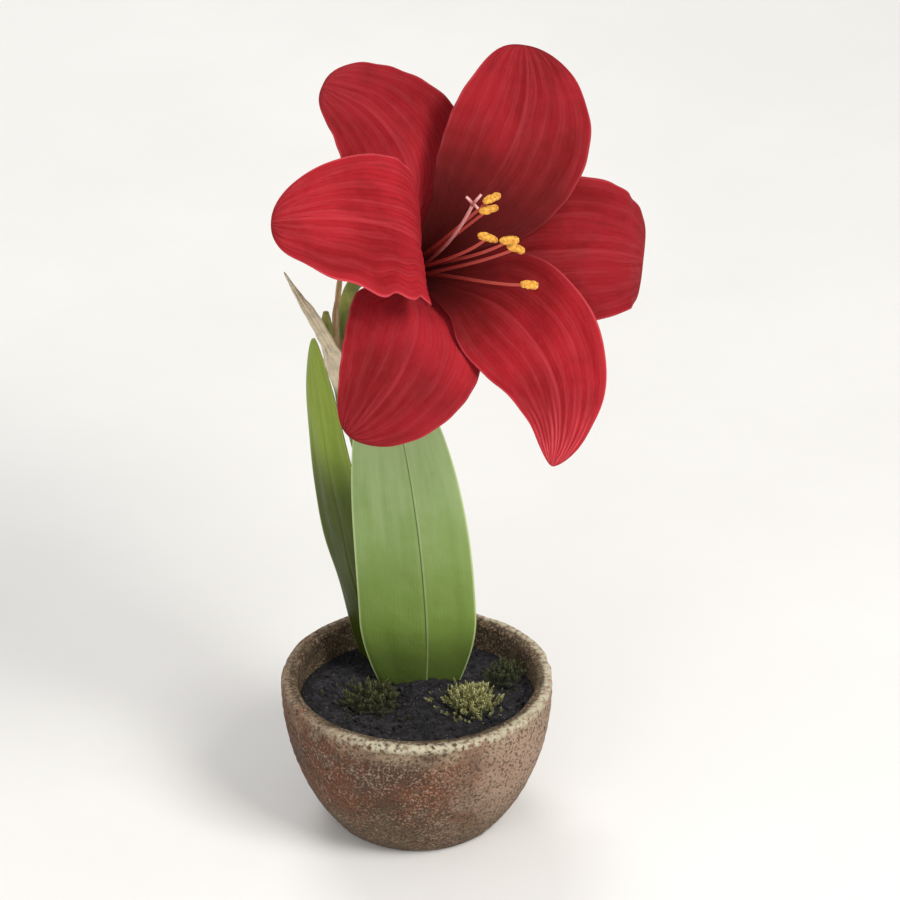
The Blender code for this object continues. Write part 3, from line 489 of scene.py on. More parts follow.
def leaf_material(name, green, pale, base, edge, rib, shade_at, shade_by, gloss):
    """A strap leaf: greyish bloom that is partly painted sheen, fine parallel veins, bright edges, painted
    shade in its middle crease with a painted highlight beside it, and a deeper foot with painted shade over
    it.

    `rib` is the groove's share across; `shade_at` and `shade_by` darken its foot with painted shade."""
    skin = Skin(name)
    share, side = skin.use_uv(), skin.side()
    stretched = skin.stretch(skin.uv, 6, 2.2, 1)
    # The leaf's greyish waxy bloom, partly painted sheen, paler towards the tip
    wax_and_sheen = skin.maths("MULTIPLY_ADD", skin.grain(1.5, vector=stretched), 0.9, skin.times(share, 0.55))
    skin.colour = skin.mix(skin.span(wax_and_sheen, 0.5, 1), green, pale)
    lines, threads = skin.veins(34, 0.01, 2), skin.veins(120, 0.006, 1.2)
    skin.tint(lines, edge, 0.05)
    skin.tint(threads, green, 0.09)
    skin.tint(skin.patches(85, 4, 0.35, 0.68, 0, 0.45), pale)
    skin.fade(share, 0.6, 0.1, base, 0.9)
    # Painted shade over the leaf's foot
    skin.tint(skin.span(share, *shade_at, 0, shade_by), shade_of(base, 0.3))
    # Painted shade in the middle crease, and a painted highlight along its edge
    for place, width, strength, colour in ((rib, (0.005, 0.015), 0.9, shade_of(green, 0.35)),
                                           (rib + 0.018, (0, 0.011), 0.34, edge)):
        away = skin.maths("ABSOLUTE", skin.maths("SUBTRACT", skin.across, place))
        skin.tint(skin.span(away, *width, strength, 0), colour)
    skin.tint(skin.span(side, 0.955, 0.995), edge, 0.85)
    relief = skin.total((lines, -0.25), (threads, 0.2), (skin.grain(130), 5), (skin.grain(1500), 0.3))
    rough = skin.span(skin.grain(4, vector=stretched), 0.3, 0.7, 0.4, 0.56)
    return skin.finish(rough, relief, 0.0001, gloss)


def stalk_material(name, green, pale, foot):
    """A smooth green stalk, streaked along its length and paler to its foot."""
    skin = Skin(name)
    share = skin.use_uv()
    skin.mottle(130, green, pale, 0.36, 0.64)
    lines = skin.veins(26, 0.02, 1.5)
    skin.tint(lines, pale, 0.25)
    skin.fade(share, 0.25, 0, foot, 0.7)
    return skin.finish(0.55, skin.total((lines, 0.5), (skin.grain(1600), 1)), 0.00008, 0.3)


def sheath_material(name, dry, dark):
    """Papery dry sheath, streaked with brown along its fibres and still green at its foot."""
    skin = Skin(name)
    share, side = skin.use_uv(), skin.side()
    lines = skin.veins(15, 0.1, 2)
    skin.mottle(170, dry, shade_of(dry, 1.25))
    skin.tint(lines, dark, 0.12)
    skin.tint(skin.veins(47, 0.08, 1.5), dark, 0.1)
    skin.fade(share, 0.9, 1, dark, 0.35)
    skin.fade(side, 0.88, 1, dark, 0.35)
    skin.fade(share, 0.18, 0.07, SCAPE_GREEN)
    return skin.finish(0.85, skin.total((lines, 1), (skin.grain(900, 4), 0.8)), 0.00016, 0.3)


def cup_material():
    """The cup's olive skin, streaked with red towards the bloom, and its dark red face inside the throat,
    darkened further as painted shade.
    """
    skin = Skin("cup_skin")
    share = skin.use_uv()
    skin.mottle(160, (0.085, 0.11, 0.022), (0.15, 0.16, 0.035), 0.36, 0.64)
    skin.tint(skin.span(share, 0.6, 0.95), (0.2, 0.03, 0.02), skin.veins(18, 0.04, 1.2))
    # Painted shade: the cup's red face made near black deep in the throat
    skin.fade(share, 0.93, 0.96, (0.045, 0.004, 0.005))
    return skin.finish(0.5, skin.grain(1600), 0.00008)


def shaded_material(name, low, high, rough):
    """A fine stalk or lobe whose colour changes from its foot to its end."""
    skin = Skin(name)
    skin.colour = skin.mix(skin.span(skin.use_uv(), 0.15, 0.95), low, high)
    skin.tint(skin.patches(1800, 3, 0.35, 0.7, 0, 0.3), shade_of(high, 0.6))
    return skin.finish(rough, skin.grain(2600), 0.00006)


def pollen_material():
    """Anthers: golden, with loose grains of pollen."""
    skin = Skin("anther_pollen")
    skin.mottle(900, (0.5, 0.17, 0.015), (0.78, 0.42, 0.055), 0.35, 0.65)
    grains = skin.specks(5200, 0.7)
    skin.tint(grains, (0.92, 0.66, 0.22), 0.45)
    return skin.finish(0.85, skin.total((grains, 1), (skin.grain(3000), 0.6)), 0.00012)


def bulb_material():
    """Thin brown skins over the bulb, streaked from neck to base."""
    skin = Skin("bulb_skins")
    streaks = skin.stretch(skin.place, 1, 1, 0.15)
    skin.mottle(420, (0.2, 0.1, 0.05), (0.42, 0.26, 0.14), 0.35, 0.65, streaks)
    skin.tint(skin.patches(90, 3, 0.5, 0.7), (0.55, 0.42, 0.26))
    return skin.finish(0.6, skin.grain(900, 4, vector=streaks), 0.0003)


def floor_material():
    skin = Skin("studio_floor")
    skin.mottle(3, (0.8, 0.79, 0.77), (0.83, 0.82, 0.8))
    return skin.finish(0.9, skin.grain(60), 0.0002)


# Ways of making a mesh

def link(name, data):
    """An object with this data, set in the scene."""
    item = bpy.data.objects.new(name, data)
    bpy.context.scene.collection.objects.link(item)
    return item


def select(*pieces):
    """Selects these pieces alone, the first one active."""
    bpy.ops.object.select_all(action="DESELECT")
    for piece in pieces:
        piece.select_set(True)
        bpy.context.view_layer.objects.active = pieces[0]


def modify(piece, kind, **settings):
    """Applies a modifier with these settings."""
    modifier = piece.modifiers.new(kind.lower(), kind)
    for key, value in settings.items():
        setattr(modifier, key, value)
    select(piece)
    bpy.ops.object.modifier_apply(modifier=modifier.name)


def points_of(piece):
    """The mesh's points as an array."""
    flat = np.empty(len(piece.data.vertices) * 3)
    piece.data.vertices.foreach_get("co", flat)
    return flat.reshape(-1, 3)


def move_points(piece, places):
    piece.data.vertices.foreach_set("co", np.asarray(places, float).ravel())
    piece.data.update()


def weld(piece, outward=True):
    """Merges points that meet, and turns the faces outwards."""
    select(piece)
    bpy.ops.object.mode_set(mode="EDIT")
    bpy.ops.mesh.select_all(action="SELECT")
    bpy.ops.mesh.remove_doubles(threshold=1e-6)
    if outward:
        bpy.ops.mesh.normals_make_consistent(inside=False)
    bpy.ops.object.mode_set(mode="OBJECT")


def coat(piece, *materials):
    """Gives the piece its materials and smooth shading."""
    for material in materials:
        piece.data.materials.append(material)
    select(piece)
    bpy.ops.object.shade_smooth()
    return piece


def laid_grid(name, points):
    """A flat grid moved to these rows and columns of places, with its points' order."""
    rows, columns = points.shape[:2]
    select()
    bpy.ops.mesh.primitive_grid_add(x_subdivisions=columns - 1, y_subdivisions=rows - 1, size=2)
    piece = bpy.context.object
    piece.name = piece.data.name = name
    flat = np.round(points_of(piece), 5)
    order = np.lexsort((flat[:, 0], flat[:, 1]))
    places = np.empty_like(flat)
    places[order] = points.reshape(-1, 3)
    move_points(piece, places)
    return piece, order


def thin_blade(name, points, walls, face, back):
    """A sheet bent from a flat grid, its wall thinning towards its edges."""
    wall, edge_wall, edge_width = walls
    piece, order = laid_grid(name, points)
    across = np.linalg.norm(np.diff(points, axis=1), axis=2)
    from_left = np.concatenate([np.zeros((len(points), 1)), np.cumsum(across, axis=1)], axis=1)
    from_side = np.minimum(from_left, from_left[:, -1:] - from_left)
    steps = np.linalg.norm(np.diff(points[:, len(points[0]) // 2], axis=0), axis=1)
    from_tip = np.append(np.cumsum(steps[::-1])[::-1], 0)
    depth = ease(np.minimum(from_side, from_tip[:, None]) / edge_width).ravel()
    inside = piece.vertex_groups.new(name="inside")
    for index, weight in zip(order, depth):
        inside.add([int(index)], float(weight), "REPLACE")
    weld(piece, outward=False)
    coat(piece, face, back)
    modify(piece, "SOLIDIFY", thickness=wall, offset=0, vertex_group="inside",
           thickness_vertex_group=edge_wall / wall, material_offset=1)
    piece.vertex_groups.clear()
    return coat(piece)


def tube(name, centres, radii, columns, material, section=lambda angle: 1):
    """A closed tube rolled from a flat grid; `section` shapes its outline."""
    centres = np.asarray(centres, float)
    heading = unit(np.gradient(centres, axis=0))
    side, sides = np.cross(heading[0], (0.3, 0.9, 0.2)), []
    for direction in heading:
        side = side - direction * side.dot(direction)
        side = side / np.linalg.norm(side)
        sides.append(side)
    angle = np.linspace(0, tau, columns)
    reach = np.asarray(radii)[:, None] * section(angle)
    rings = (centres[:, None] + np.array(sides)[:, None] * (reach * np.cos(angle))[..., None]
             + np.cross(heading, sides)[:, None] * (reach * np.sin(angle))[..., None])
    first, last = (np.broadcast_to(centres[end], (1, columns, 3)) for end in (0, -1))
    piece = laid_grid(name, np.concatenate([first, rings, last]))[0]
    weld(piece)
    return coat(piece, material)


def turned(name, profile, steps, *materials):
    """A turned solid. The profile is (radius, height) points, down its outer side."""
    mesh = bpy.data.meshes.new(name)
    edges = [(i, i + 1) for i in range(len(profile) - 1)]
    mesh.from_pydata([(r, 0, z) for r, z in profile], edges, [])
    piece = link(name, mesh)
    modify(piece, "SCREW", steps=steps, render_steps=steps, use_merge_vertices=True, merge_threshold=1e-5)
    weld(piece)
    return coat(piece, *materials)


def roughen(piece, where, *reliefs, direction="NORMAL"):
    """Raises the points that `where` marks by textures, each a kind, a size and a strength."""
    raised = piece.vertex_groups.new(name="raised")
    raised.add(np.flatnonzero(where).tolist(), 1, "REPLACE")
    for kind, size, strength in reliefs:
        texture = bpy.data.textures.new(f"{piece.name}_{kind.lower()}", kind)
        texture.noise_scale = size
        modify(piece, "DISPLACE", texture=texture, texture_coords="LOCAL", direction=direction,
               strength=strength, vertex_group="raised")
    piece.vertex_groups.clear()


def cut(piece, cutter):
    """Takes the cutter's shape out of the piece."""
    modify(piece, "BOOLEAN", operation="DIFFERENCE", object=cutter, solver="EXACT")
    bpy.data.objects.remove(cutter)


def strew(name, points, faces, places, material, shares=()):
    """Copies of one small shape at 4 by 4 matrices, as one mesh; `shares` become its UV."""
    flat = np.c_[points, np.ones(len(points))]
    all_points = np.concatenate([flat @ np.array(place).T for place in places])[:, :3]
    all_faces = [tuple(i + n * len(points) for i in face) for n in range(len(places)) for face in faces]
    mesh = bpy.data.meshes.new(name)
    mesh.from_pydata(all_points.tolist(), [], all_faces)
    if shares:
        spread = [(0.5, shares[i]) for face in faces for i in face] * len(places)
        mesh.uv_layers.new(name="UVMap").data.foreach_set("uv", np.array(spread, float).ravel())
    return coat(link(name, mesh), material)


def seat(piece, slot, *nodes):
    """Fixes the piece to the plant's one body and hides the imported parts it stands in for; its slot is not
    used.
    """
    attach(piece, "root")
    if nodes:
        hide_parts(*nodes)


# Pot and soil

def pot_outer_radius(z):
    depth = (POT_HEIGHT - z) / POT_HEIGHT
    return POT_FOOT_RADIUS + (POT_RIM_RADIUS - POT_FOOT_RADIUS) * (1 - depth ** POT_BELLY) ** POT_TUCK


def inner_wall(top, levels):
    """(radius, height) points down the pot's inner wall, from a height to its floor."""
    heights = top + (POT_FLOOR - top) * np.linspace(0, 1, levels) ** 0.8
    return [(pot_outer_radius(z) - POT_WALL, z) for z in heights]


SOIL_REACH = inner_wall(SOIL_TOP, 2)[0][0]


def quarter(r, z, radius, start):
    """A quarter circle about (r, z), clockwise from an angle in degrees."""
    angles = np.radians(start - np.linspace(0, 90, 6))
    return [(r + radius * cos(a), z + radius * sin(a)) for a in angles]


def pot_profile():
    """From the middle of the floor up the inside, over the rim, down the outside and under the foot."""
    wall = inner_wall(POT_HEIGHT - INNER_ARRIS, 46)
    inside = [(s * wall[-1][0], POT_FLOOR) for s in np.linspace(0, 0.96, 10)] + wall[::-1]
    rim = quarter(POT_RIM_RADIUS - POT_WALL + INNER_ARRIS, POT_HEIGHT - INNER_ARRIS, INNER_ARRIS, 180)[1:]
    rim += quarter(POT_RIM_RADIUS - OUTER_ARRIS, POT_HEIGHT - OUTER_ARRIS, OUTER_ARRIS, 90)
    heights = POT_HEIGHT * (1 - np.linspace(OUTER_ARRIS / POT_HEIGHT, 1, 64) ** 0.93)
    outside = [(pot_outer_radius(z), z) for z in heights[heights < heights[0] - 0.0003]]
    outside[-1] = (POT_FOOT_RADIUS, 0.0008)
    foot = [(POT_FOOT_RADIUS - 0.001 - s, 0) for s in np.linspace(0, POT_FOOT_RADIUS - 0.001, 12)]
    return inside + rim + outside + foot


def make_pot(material):
    """The pot, a little out of round, with turning lines, chips in its rim and weep holes."""
    pot = turned("fired_clay_pot", pot_profile(), 288, material)
    places = points_of(pot)
    x, y, z = places.T
    angle, radius, high = np.arctan2(y, x), np.hypot(x, y), z / POT_HEIGHT
    out_of_round = 1 + 0.004 * high * np.sin(2 * angle + 0.8) + 0.0015 * high * np.sin(5 * angle)
    turning_lines = 0.0001 * np.sin(tau * z / 0.0042) * (radius > pot_outer_radius(z) - 0.001)
    grow = (radius * (out_of_round - 1) + turning_lines) * (z > 0.001)
    x += grow * np.cos(angle)
    y += grow * np.sin(angle)
    z += 0.00025 * high ** 8 * np.sin(3 * angle + 1)
    draw = np.random.default_rng(7)
    for _ in range(9):
        at, size, depth = draw.uniform(0, tau), draw.uniform(0.0015, 0.004), draw.uniform(0.0003, 0.0009)
        centre = np.array([cos(at), sin(at), 0]) * POT_RIM_RADIUS + np.array([0, 0, POT_HEIGHT])
        near = np.exp(-(np.linalg.norm(places - centre, axis=1) / size) ** 2)
        places -= (centre / np.linalg.norm(centre) * depth) * near[:, None]
    move_points(pot, places)
    roughen(pot, z > 0.0012, ("CLOUDS", 0.014, 0.0006), ("CLOUDS", 0.0028, 0.00035))
    for number in range(3):
        at = tau * number / 3 + pi / 2
        select()
        place = (WEEP_HOLE_CIRCLE * cos(at), WEEP_HOLE_CIRCLE * sin(at), 0)
        bpy.ops.mesh.primitive_cylinder_add(vertices=32, radius=WEEP_HOLE_RADIUS, depth=3 * POT_FLOOR,
                                            location=place)
        cut(pot, bpy.context.object)
    seat(pot, "clay", "pot")


def pit_profile():
    """(radius, height) points down the pit that the bulb lies in."""
    top = BULB_TOP + GAP
    middle = BULB_BOTTOM + 0.45 * (BULB_TOP - BULB_BOTTOM)
    points = [(0, top)]
    for s in np.linspace(0, 1, 9):
        z = top + (BULB_BOTTOM - BULB_TOP - 2 * GAP) * s
        if z > middle:
            radius = BULB_RADIUS - (BULB_RADIUS - BULB_NECK_RADIUS) * ((z - middle) / (top - middle)) ** 2
        else:
            radius = BULB_RADIUS * (1 - 0.55 * ((middle - z) / (middle - BULB_BOTTOM + GAP)) ** 2.4)
        points.append((radius + GAP, z))
    return points + [(0, BULB_BOTTOM - GAP)]


def make_soil(material):
    """The soil, with a pit for the bulb and holes for what grows out of it."""
    side = [(r - GAP, z) for r, z in inner_wall(SOIL_TOP, 8)]
    edge = side[0][0]
    side[-1] = (side[-1][0], POT_FLOOR + GAP)
    disc = [(edge * s, SOIL_TOP) for s in np.linspace(0, 1, 90)[:-1]]
    soil = turned("potting_soil", disc + side + [(0, POT_FLOOR + GAP)], 260, material)
    places = points_of(soil)
    x, y, z = places.T
    upper = z > SOIL_TOP - 1e-5
    z[upper] = soil_top(x[upper], y[upper])
    move_points(soil, places)
    roughen(soil, upper & (np.hypot(x, y) < edge - 0.0005), ("CLOUDS", 0.0045, 0.0016),
            ("VORONOI", 0.0022, 0.0012), direction="Z")
    pit = turned("pit", pit_profile(), 24)
    move_points(pit, points_of(pit) + np.array([*BULB_CENTRE, 0]))
    cut(soil, pit)
    centres = bezier(SCAPE_PATH, np.linspace(-0.02, 0.16, 5))
    cut(soil, tube("scape_hole", centres, [SCAPE_RADIUS + SLOT_MARGIN] * len(centres), 25, None))
    for leaf in LEAVES:
        slot = strap_points(leaf, np.linspace(-0.02, 0.16, 7), 13, margin=SLOT_MARGIN)
        cutter = laid_grid(leaf.name + "_slot", slot)[0]
        modify(cutter, "SOLIDIFY", thickness=LEAF_WALL[0] + 2 * SLOT_MARGIN, offset=0)
        cut(soil, cutter)
    seat(coat(soil), "loam", "soil")


def strap_points(strap, shares, columns, margin=0, relief=lambda v, u: 0):
    """Points of a leaf or sheath: rows along it, columns across."""
    centre = bezier(strap.path, shares)
    heading = along(strap.path, shares)
    share = np.clip(shares, 0, 1)
    face = unit(np.outer(1 - share, strap.face) + np.outer(share, strap.face_end))
    across = unit(np.cross(heading, face))
    outward = unit(np.cross(across, heading))
    swell = strap.base + (1 - strap.base) * np.sin(pi / 2 * np.clip(share / strap.widest, 0, 1))
    taper = np.clip((share - strap.widest) / (1 - strap.widest), 0, 1) ** strap.hold
    half = strap.half_width * np.where(share < strap.widest, swell, np.cos(pi / 2 * taper) ** strap.blunt)
    half = (half + margin)[:, None]
    u = np.linspace(-1, 1, columns)[None, :]
    s = u * half
    curvature = strap.hug * (1 - ease(share / 0.4))[:, None] + 0.01
    fold = radians(strap.fold)
    from_rib = s - strap.rib * half
    back = np.sqrt(from_rib ** 2 + 0.002 ** 2) * sin(fold) - 0.0006 + (1 - np.cos(curvature * s)) / curvature
    side = np.sin(curvature * s) / curvature * cos(fold)
    back += relief(share[:, None], u)
    return centre[:, None] + across[:, None] * side[..., None] - outward[:, None] * back[..., None]


def make_leaves(*materials):
    for seed, (leaf, material) in enumerate(zip(LEAVES, materials), 40):
        def relief(v, u):
            """Grooves, fine ribs and waves, as depth below the outer face."""
            calm = ease((1 - v) * 6) * ease(v * 5)
            depth = 0.00025 * drift(seed, 1.2 * u, 3.5 * v) * calm
            for place, width, deep in leaf.creases:
                depth += deep * calm * np.exp(-((u - place) / width) ** 2)
            depth += 0.000018 * np.sin(tau * 17 * u) * calm
            return depth + 0.0005 * np.abs(u) ** 4 * np.sin(tau * (2.2 * v + 0.3 * np.sign(u))) * calm
        points = strap_points(leaf, rows_to_tip(LEAF_GRID[0]), LEAF_GRID[1], relief=relief)
        seat(thin_blade(leaf.name + "_blade", points, LEAF_WALL, material, material), "leaf_green", leaf.name)


# Stalks

def make_scape(material):
    shares = np.append(np.linspace(0, 0.996, 90), 1)
    radii = SCAPE_RADIUS + (SCAPE_TOP_RADIUS - SCAPE_RADIUS) * ease((shares - 0.85) / 0.15)
    radii = radii * (1 + 0.012 * np.sin(tau * 3.3 * shares))
    radii[-1] -= 0.0006
    piece = tube("flower_stalk", bezier(SCAPE_PATH, shares), radii, 57, material,
                 lambda angle: 1 + 0.035 * np.cos(2 * angle) + 0.008 * np.cos(14 * angle))
    seat(piece, "scape_green", "scape")


def scape_top(offset):
    """A place on the scape's end, that far to its right, and the scape's direction there."""
    heading = Vector(along(SCAPE_PATH, [1])[0])
    side = Vector((1, 0, 0)) - heading * heading.x
    return Vector(SCAPE_PATH[-1]) + heading * SEAT_GAP + side.normalized() * offset, heading


def spathe_valves():
    """The two sheaths that opened round the bloom, seated on the scape's end."""
    off = SCAPE_TOP_RADIUS + GAP + SPATHE_WALL[0] / 2
    for name, angle, path, width, end in SPATHES:
        face = (cos(radians(angle)), sin(radians(angle)), 0)
        first = bezier(SCAPE_PATH, [0.95])[0] + off * np.array(face)
        second = first + np.array([face[0] * 0.0015, face[1] * 0.0015, 0.01])
        yield Strap(name, (first, second, *path), width, 0.9, 0.2, 0.75, face, end, 4, hug=1 / off)


def make_spathe(*materials):
    shares = rows_to_tip(SPATHE_GRID[0])
    v = shares[:, None]
    for seed, (valve, material) in enumerate(zip(spathe_valves(), materials), 60):
        def relief(v, u):
            """Wrinkles along the dry sheath, growing towards its tip."""
            wrinkle = 0.00016 * np.sin(tau * (5.5 * u + 0.4 * np.sin(7 * v)))
            wrinkle += 0.0005 * drift(seed, 0.8 * u, 3 * v) * ease((1 - v) * 5)
            return ease((v - 0.15) / 0.4) * wrinkle
        points = strap_points(valve, shares, SPATHE_GRID[1], relief=relief)
        middle = points[:, [SPATHE_GRID[1] // 2]]
        ragged = 1 + (0.1 * drift(seed + 5, 0 * v, 7 * v) * ease((v - 0.3) * 3))
        slim = 1 - 0.3 * ease((v - 0.42) / 0.2)
        points = middle + (points - middle) * (ragged * slim)[..., None]
        piece = thin_blade("dry_" + valve.name, points, SPATHE_WALL, material, material)
        seat(piece, "dry_sheath", valve.name)


def make_pedicel(material):
    """The bloom's own stalk, swelling into the three-sided ovary behind the green cup."""
    start, heading = scape_top(0.0018)
    end = in_bloom((0, 0, CUP_TOP - CUP_LENGTH - GAP))
    root = end - AXIS * PEDICEL_STUB
    path = (start, start + heading * 0.022, PEDICEL_BEND, root - AXIS * 0.012, root)
    shares = np.linspace(0, 1, 100)
    swell = ease((shares - 0.67) / 0.15) * (1 - ease((shares - 0.86) / 0.14))
    neck = PEDICEL_RADIUS + (CUP_BACK_RADIUS - PEDICEL_RADIUS) * ease((shares - 0.6) / 0.4)
    radii = np.append(neck + (OVARY_RADIUS - PEDICEL_RADIUS - 0.0007) * swell, CUP_BACK_RADIUS)

    def three_sided(angle):
        sides = 0.09 * np.cos(3 * angle) - 0.05 * np.abs(np.cos(1.5 * angle)) ** 12
        return 1 + np.outer(np.append(swell, 0), sides)
    centres = np.vstack([bezier(path, shares), end])
    seat(tube("flower_pedicel_with_ovary", centres, radii, 49, material, three_sided),
         "ovary_green", "pedicel_and_ovary")


def make_bud(material):
    """A small second bud that has not opened, on its own thin stalk."""
    start, heading = scape_top(-0.003)
    path = (start, start + heading * 0.012, BUD_TIP - Vector((0, 0, 0.015)), BUD_TIP)
    shares = rows_to_tip(70, 1.2)
    swell = ease((shares - 0.6) / 0.15) * (1 - ((np.clip(shares, 0.75, 1) - 0.75) / 0.25) ** 2 * 0.9)
    radii = BUD_STALK_RADIUS + (BUD_RADIUS - BUD_STALK_RADIUS) * swell
    radii[-1] = 0.0003
    piece = tube("closed_bud", bezier(path, shares), radii, 33, material,
                 lambda angle: 1 + np.outer(swell, 0.06 * np.cos(3 * angle)))
    seat(piece, "bud_green", "bud")


def make_cup(material):
    """The short cup above the ovary, with a rib under each tepal."""
    shares = np.linspace(0, 1, 24)
    flare = CUP_BACK_RADIUS + (CUP_FRONT_RADIUS - CUP_BACK_RADIUS) * shares ** 1.4
    flare = np.append(flare, CUP_FRONT_RADIUS - 0.0006)
    heights = np.append(CUP_TOP - CUP_LENGTH + (CUP_LENGTH - 0.0006) * shares, CUP_TOP)
    piece = tube("green_cup", [in_bloom((0, 0, h)) for h in heights], flare, 61, material,
                 lambda angle: 1 + np.outer(np.linspace(0, 1, 25), 0.025 * np.cos(6 * angle)))
    seat(piece, "cup_green", "bloom_cup")


# Bloom

def tepal_spine(tepal, shares):
    """Distance from the axis, distance along it and slope, at shares of the length."""
    steps = 400
    fine = np.linspace(0, 1, steps + 1)
    slope = np.radians(tepal.rise + (tepal.curl - tepal.rise) * fine ** tepal.delay)
    middle = (slope[1:] + slope[:-1]) / 2
    step = tepal.length / steps
    out = tepal.radius + np.append(0, np.cumsum(np.sin(middle)) * step)
    forward = TEPAL_START + np.append(0, np.cumsum(np.cos(middle)) * step)
    return (np.interp(shares, fine, values) for values in (out, forward, slope))


def tepal_centre(tepal, shares):
    """A tepal's centre line, where its inner face looks, and its distance from the axis."""
    axis, right, up = (np.array(v) for v in (AXIS, RIGHT, UP))
    out, forward, slope = tepal_spine(tepal, shares)
    angle = np.radians(tepal.seat + tepal.shift * ease(shares / 0.45) + tepal.bend * shares ** 2)
    radial = np.cos(angle)[:, None] * right + np.sin(angle)[:, None] * up
    inward = -np.cos(slope)[:, None] * radial + np.sin(slope)[:, None] * axis
    return np.array(BASE) + radial * out[:, None] + axis * forward[:, None], inward, out


def tepal_half_width(tepal, shares, out):
    """Half the width: a blade that swells from its third of the tube."""
    swell = 0.26 + 0.74 * np.sin(pi / 2 * np.clip(shares / tepal.widest, 0, 1)) ** tepal.swell
    taper = np.clip((shares - tepal.widest) / (1 - tepal.widest), 0, 1)
    blade = tepal.half_width * np.where(shares < tepal.widest, swell, np.cos(pi / 2 * taper) ** tepal.blunt)
    room = TUBE_SHARE * pi / 3 * out * (1 + tepal.spread * ease((shares - tepal.free_from) / 0.4))
    return (np.maximum(blade, 1e-6) ** -6 + room ** -6) ** (-1 / 6)


def tepal_points(tepal, shares, columns, seed):
    """Points of a tepal: rows along it, columns across."""
    centre, inward, out = tepal_centre(tepal, shares)
    ahead = tepal_centre(tepal, np.minimum(shares + 1e-3, 1))[0]
    behind = tepal_centre(tepal, np.maximum(shares - 1e-3, 0))[0]
    heading = unit(ahead - behind)
    across = unit(np.cross(heading, inward))
    inward = unit(np.cross(across, heading))
    half = tepal_half_width(tepal, shares, out)
    trimmed = 1 - tepal.trim * np.exp(-((shares - TRIM_PLACE) / TRIM_REACH) ** 2)
    trimmed += tepal.fill * ease((shares - FILL_FROM) / FILL_OVER)
    waving = np.sin(tau * (shares - SCALLOP_AT) / SCALLOP_PITCH)
    trimmed += tepal.scallop * waving * ease((shares - 0.4) / 0.15)
    u, v = np.linspace(-1, 1, columns)[None, :], shares[:, None]
    s = u * half[:, None] * np.where(u < 0, trimmed[:, None], 1)
    opened = ease(shares / tepal.flat_by)
    curvature = (0.96 * (1 - opened) / out + opened * tepal.cup)[:, None]
    curvature = np.where(np.abs(curvature) < 0.01, 0.01, curvature)
    side = np.sin(curvature * s) / curvature
    lift = (1 - np.cos(curvature * s)) / curvature
    lift += tepal.lean * s * ease(2 * (v - 0.1))
    tip = np.clip((1 - v) * 8, 0, 1)
    free = np.clip((v - 0.25) * 3, 0, 1)
    lift += KEEL * np.minimum(1, v * 3) * tip * (np.abs(np.tanh(s / 0.004)) - 1)
    wave = tau * (tepal.waves * v + tepal.wave_start + 0.35 * np.sign(u))
    lift += tepal.ruffle * tip * np.abs(u) ** 2.2 * np.sin(wave) * free
    small = tau * (8.5 * v + 0.6 * np.sin(5 * v + seed) + 0.21 * np.sign(u))
    lift += tepal.frill * tip * np.abs(u) ** 6 * np.sin(small) * free
    lift += RIB * np.cos(tau * 8.5 * u) * tip * np.clip(v * 2.5, 0, 1) * (1 - np.abs(u) ** 4)
    lift += 0.00035 * drift(seed, 1.3 * u, 2.4 * v) * tip * free
    return centre[:, None] + across[:, None] * side[..., None] + inward[:, None] * lift[..., None]


def make_tepals(back, *faces):
    for seed, (tepal, face) in enumerate(zip(TEPALS, faces), 20):
        points = tepal_points(tepal, rows_to_tip(TEPAL_GRID[0]), TEPAL_GRID[1], seed)
        seat(thin_blade("red_" + tepal.name, points, TEPAL_WALL, face, back), "petal_red", tepal.name)


def throat_path(x, y, knee, end, count):
    """Points of what grows straight from the throat and bends to its end, and its last direction."""
    path = ((x, y, TEPAL_START), (x, y, 0.026), (0.45 * end[0], knee, 0.68 * end[2]), end)
    points = [in_bloom(p) for p in bezier(path, np.linspace(0, 1, count))]
    return points, (points[-1] - in_bloom(bezier(path, np.linspace(0, 1, 12))[-2])).normalized()


def anther_points(centre, lie, heading):
    """Rings of a long curved anther with a furrow down its outer face."""
    across = heading.cross(lie)
    long, wide, high = ANTHER_SIZE
    angle = np.linspace(0, tau, 25)
    rings = []
    for share in np.linspace(-0.98, 0.98, 26):
        x = long * share
        body = (1 - share ** 4) ** 0.5
        ring = []
        for a in angle:
            furrow = 1 - 0.3 * np.exp(-((a - pi / 2) / 0.35) ** 2)
            rise = high * body * furrow * sin(a) - 30 * x * x
            ring.append(centre + (lie * x + across * (wide * body * cos(a)) + heading * rise))
        rings.append(ring)
    first, last = ([centre + lie * x + heading * (-30 * x ** 2)] * len(angle) for x in (-long, long))
    return np.array([first, *rings, last], float)


def make_stamens(stalk, pollen):
    for number, (turn, end) in enumerate(STAMENS, 1):
        x, y = STAMEN_CIRCLE * cos(radians(turn)), STAMEN_CIRCLE * sin(radians(turn))
        belly = 0.001 if y > 0.001 else -0.003
        points, heading = throat_path(x, y, 0.6 * end[1] + belly, end, 60)
        radii = np.linspace(FILAMENT_RADIUS, 0.75 * FILAMENT_RADIUS, len(points))
        seat(tube(f"red_filament_{number}", points, radii, 17, stalk), "filament_red", f"filament_{number}")
        lean = RIGHT + UP * (0.5 - 0.25 * number) * 0.6
        lie = (lean - heading * lean.dot(heading)).normalized()
        centre = points[-1] + heading * (ANTHER_SIZE[2] + GAP)
        piece = laid_grid(f"golden_anther_{number}", anther_points(centre, lie, heading))[0]
        weld(piece)
        roughen(coat(piece, pollen), points_of(piece)[:, 2], ("CLOUDS", 0.0014, 0.0009))
        seat(piece, "pollen", f"anther_{number}")


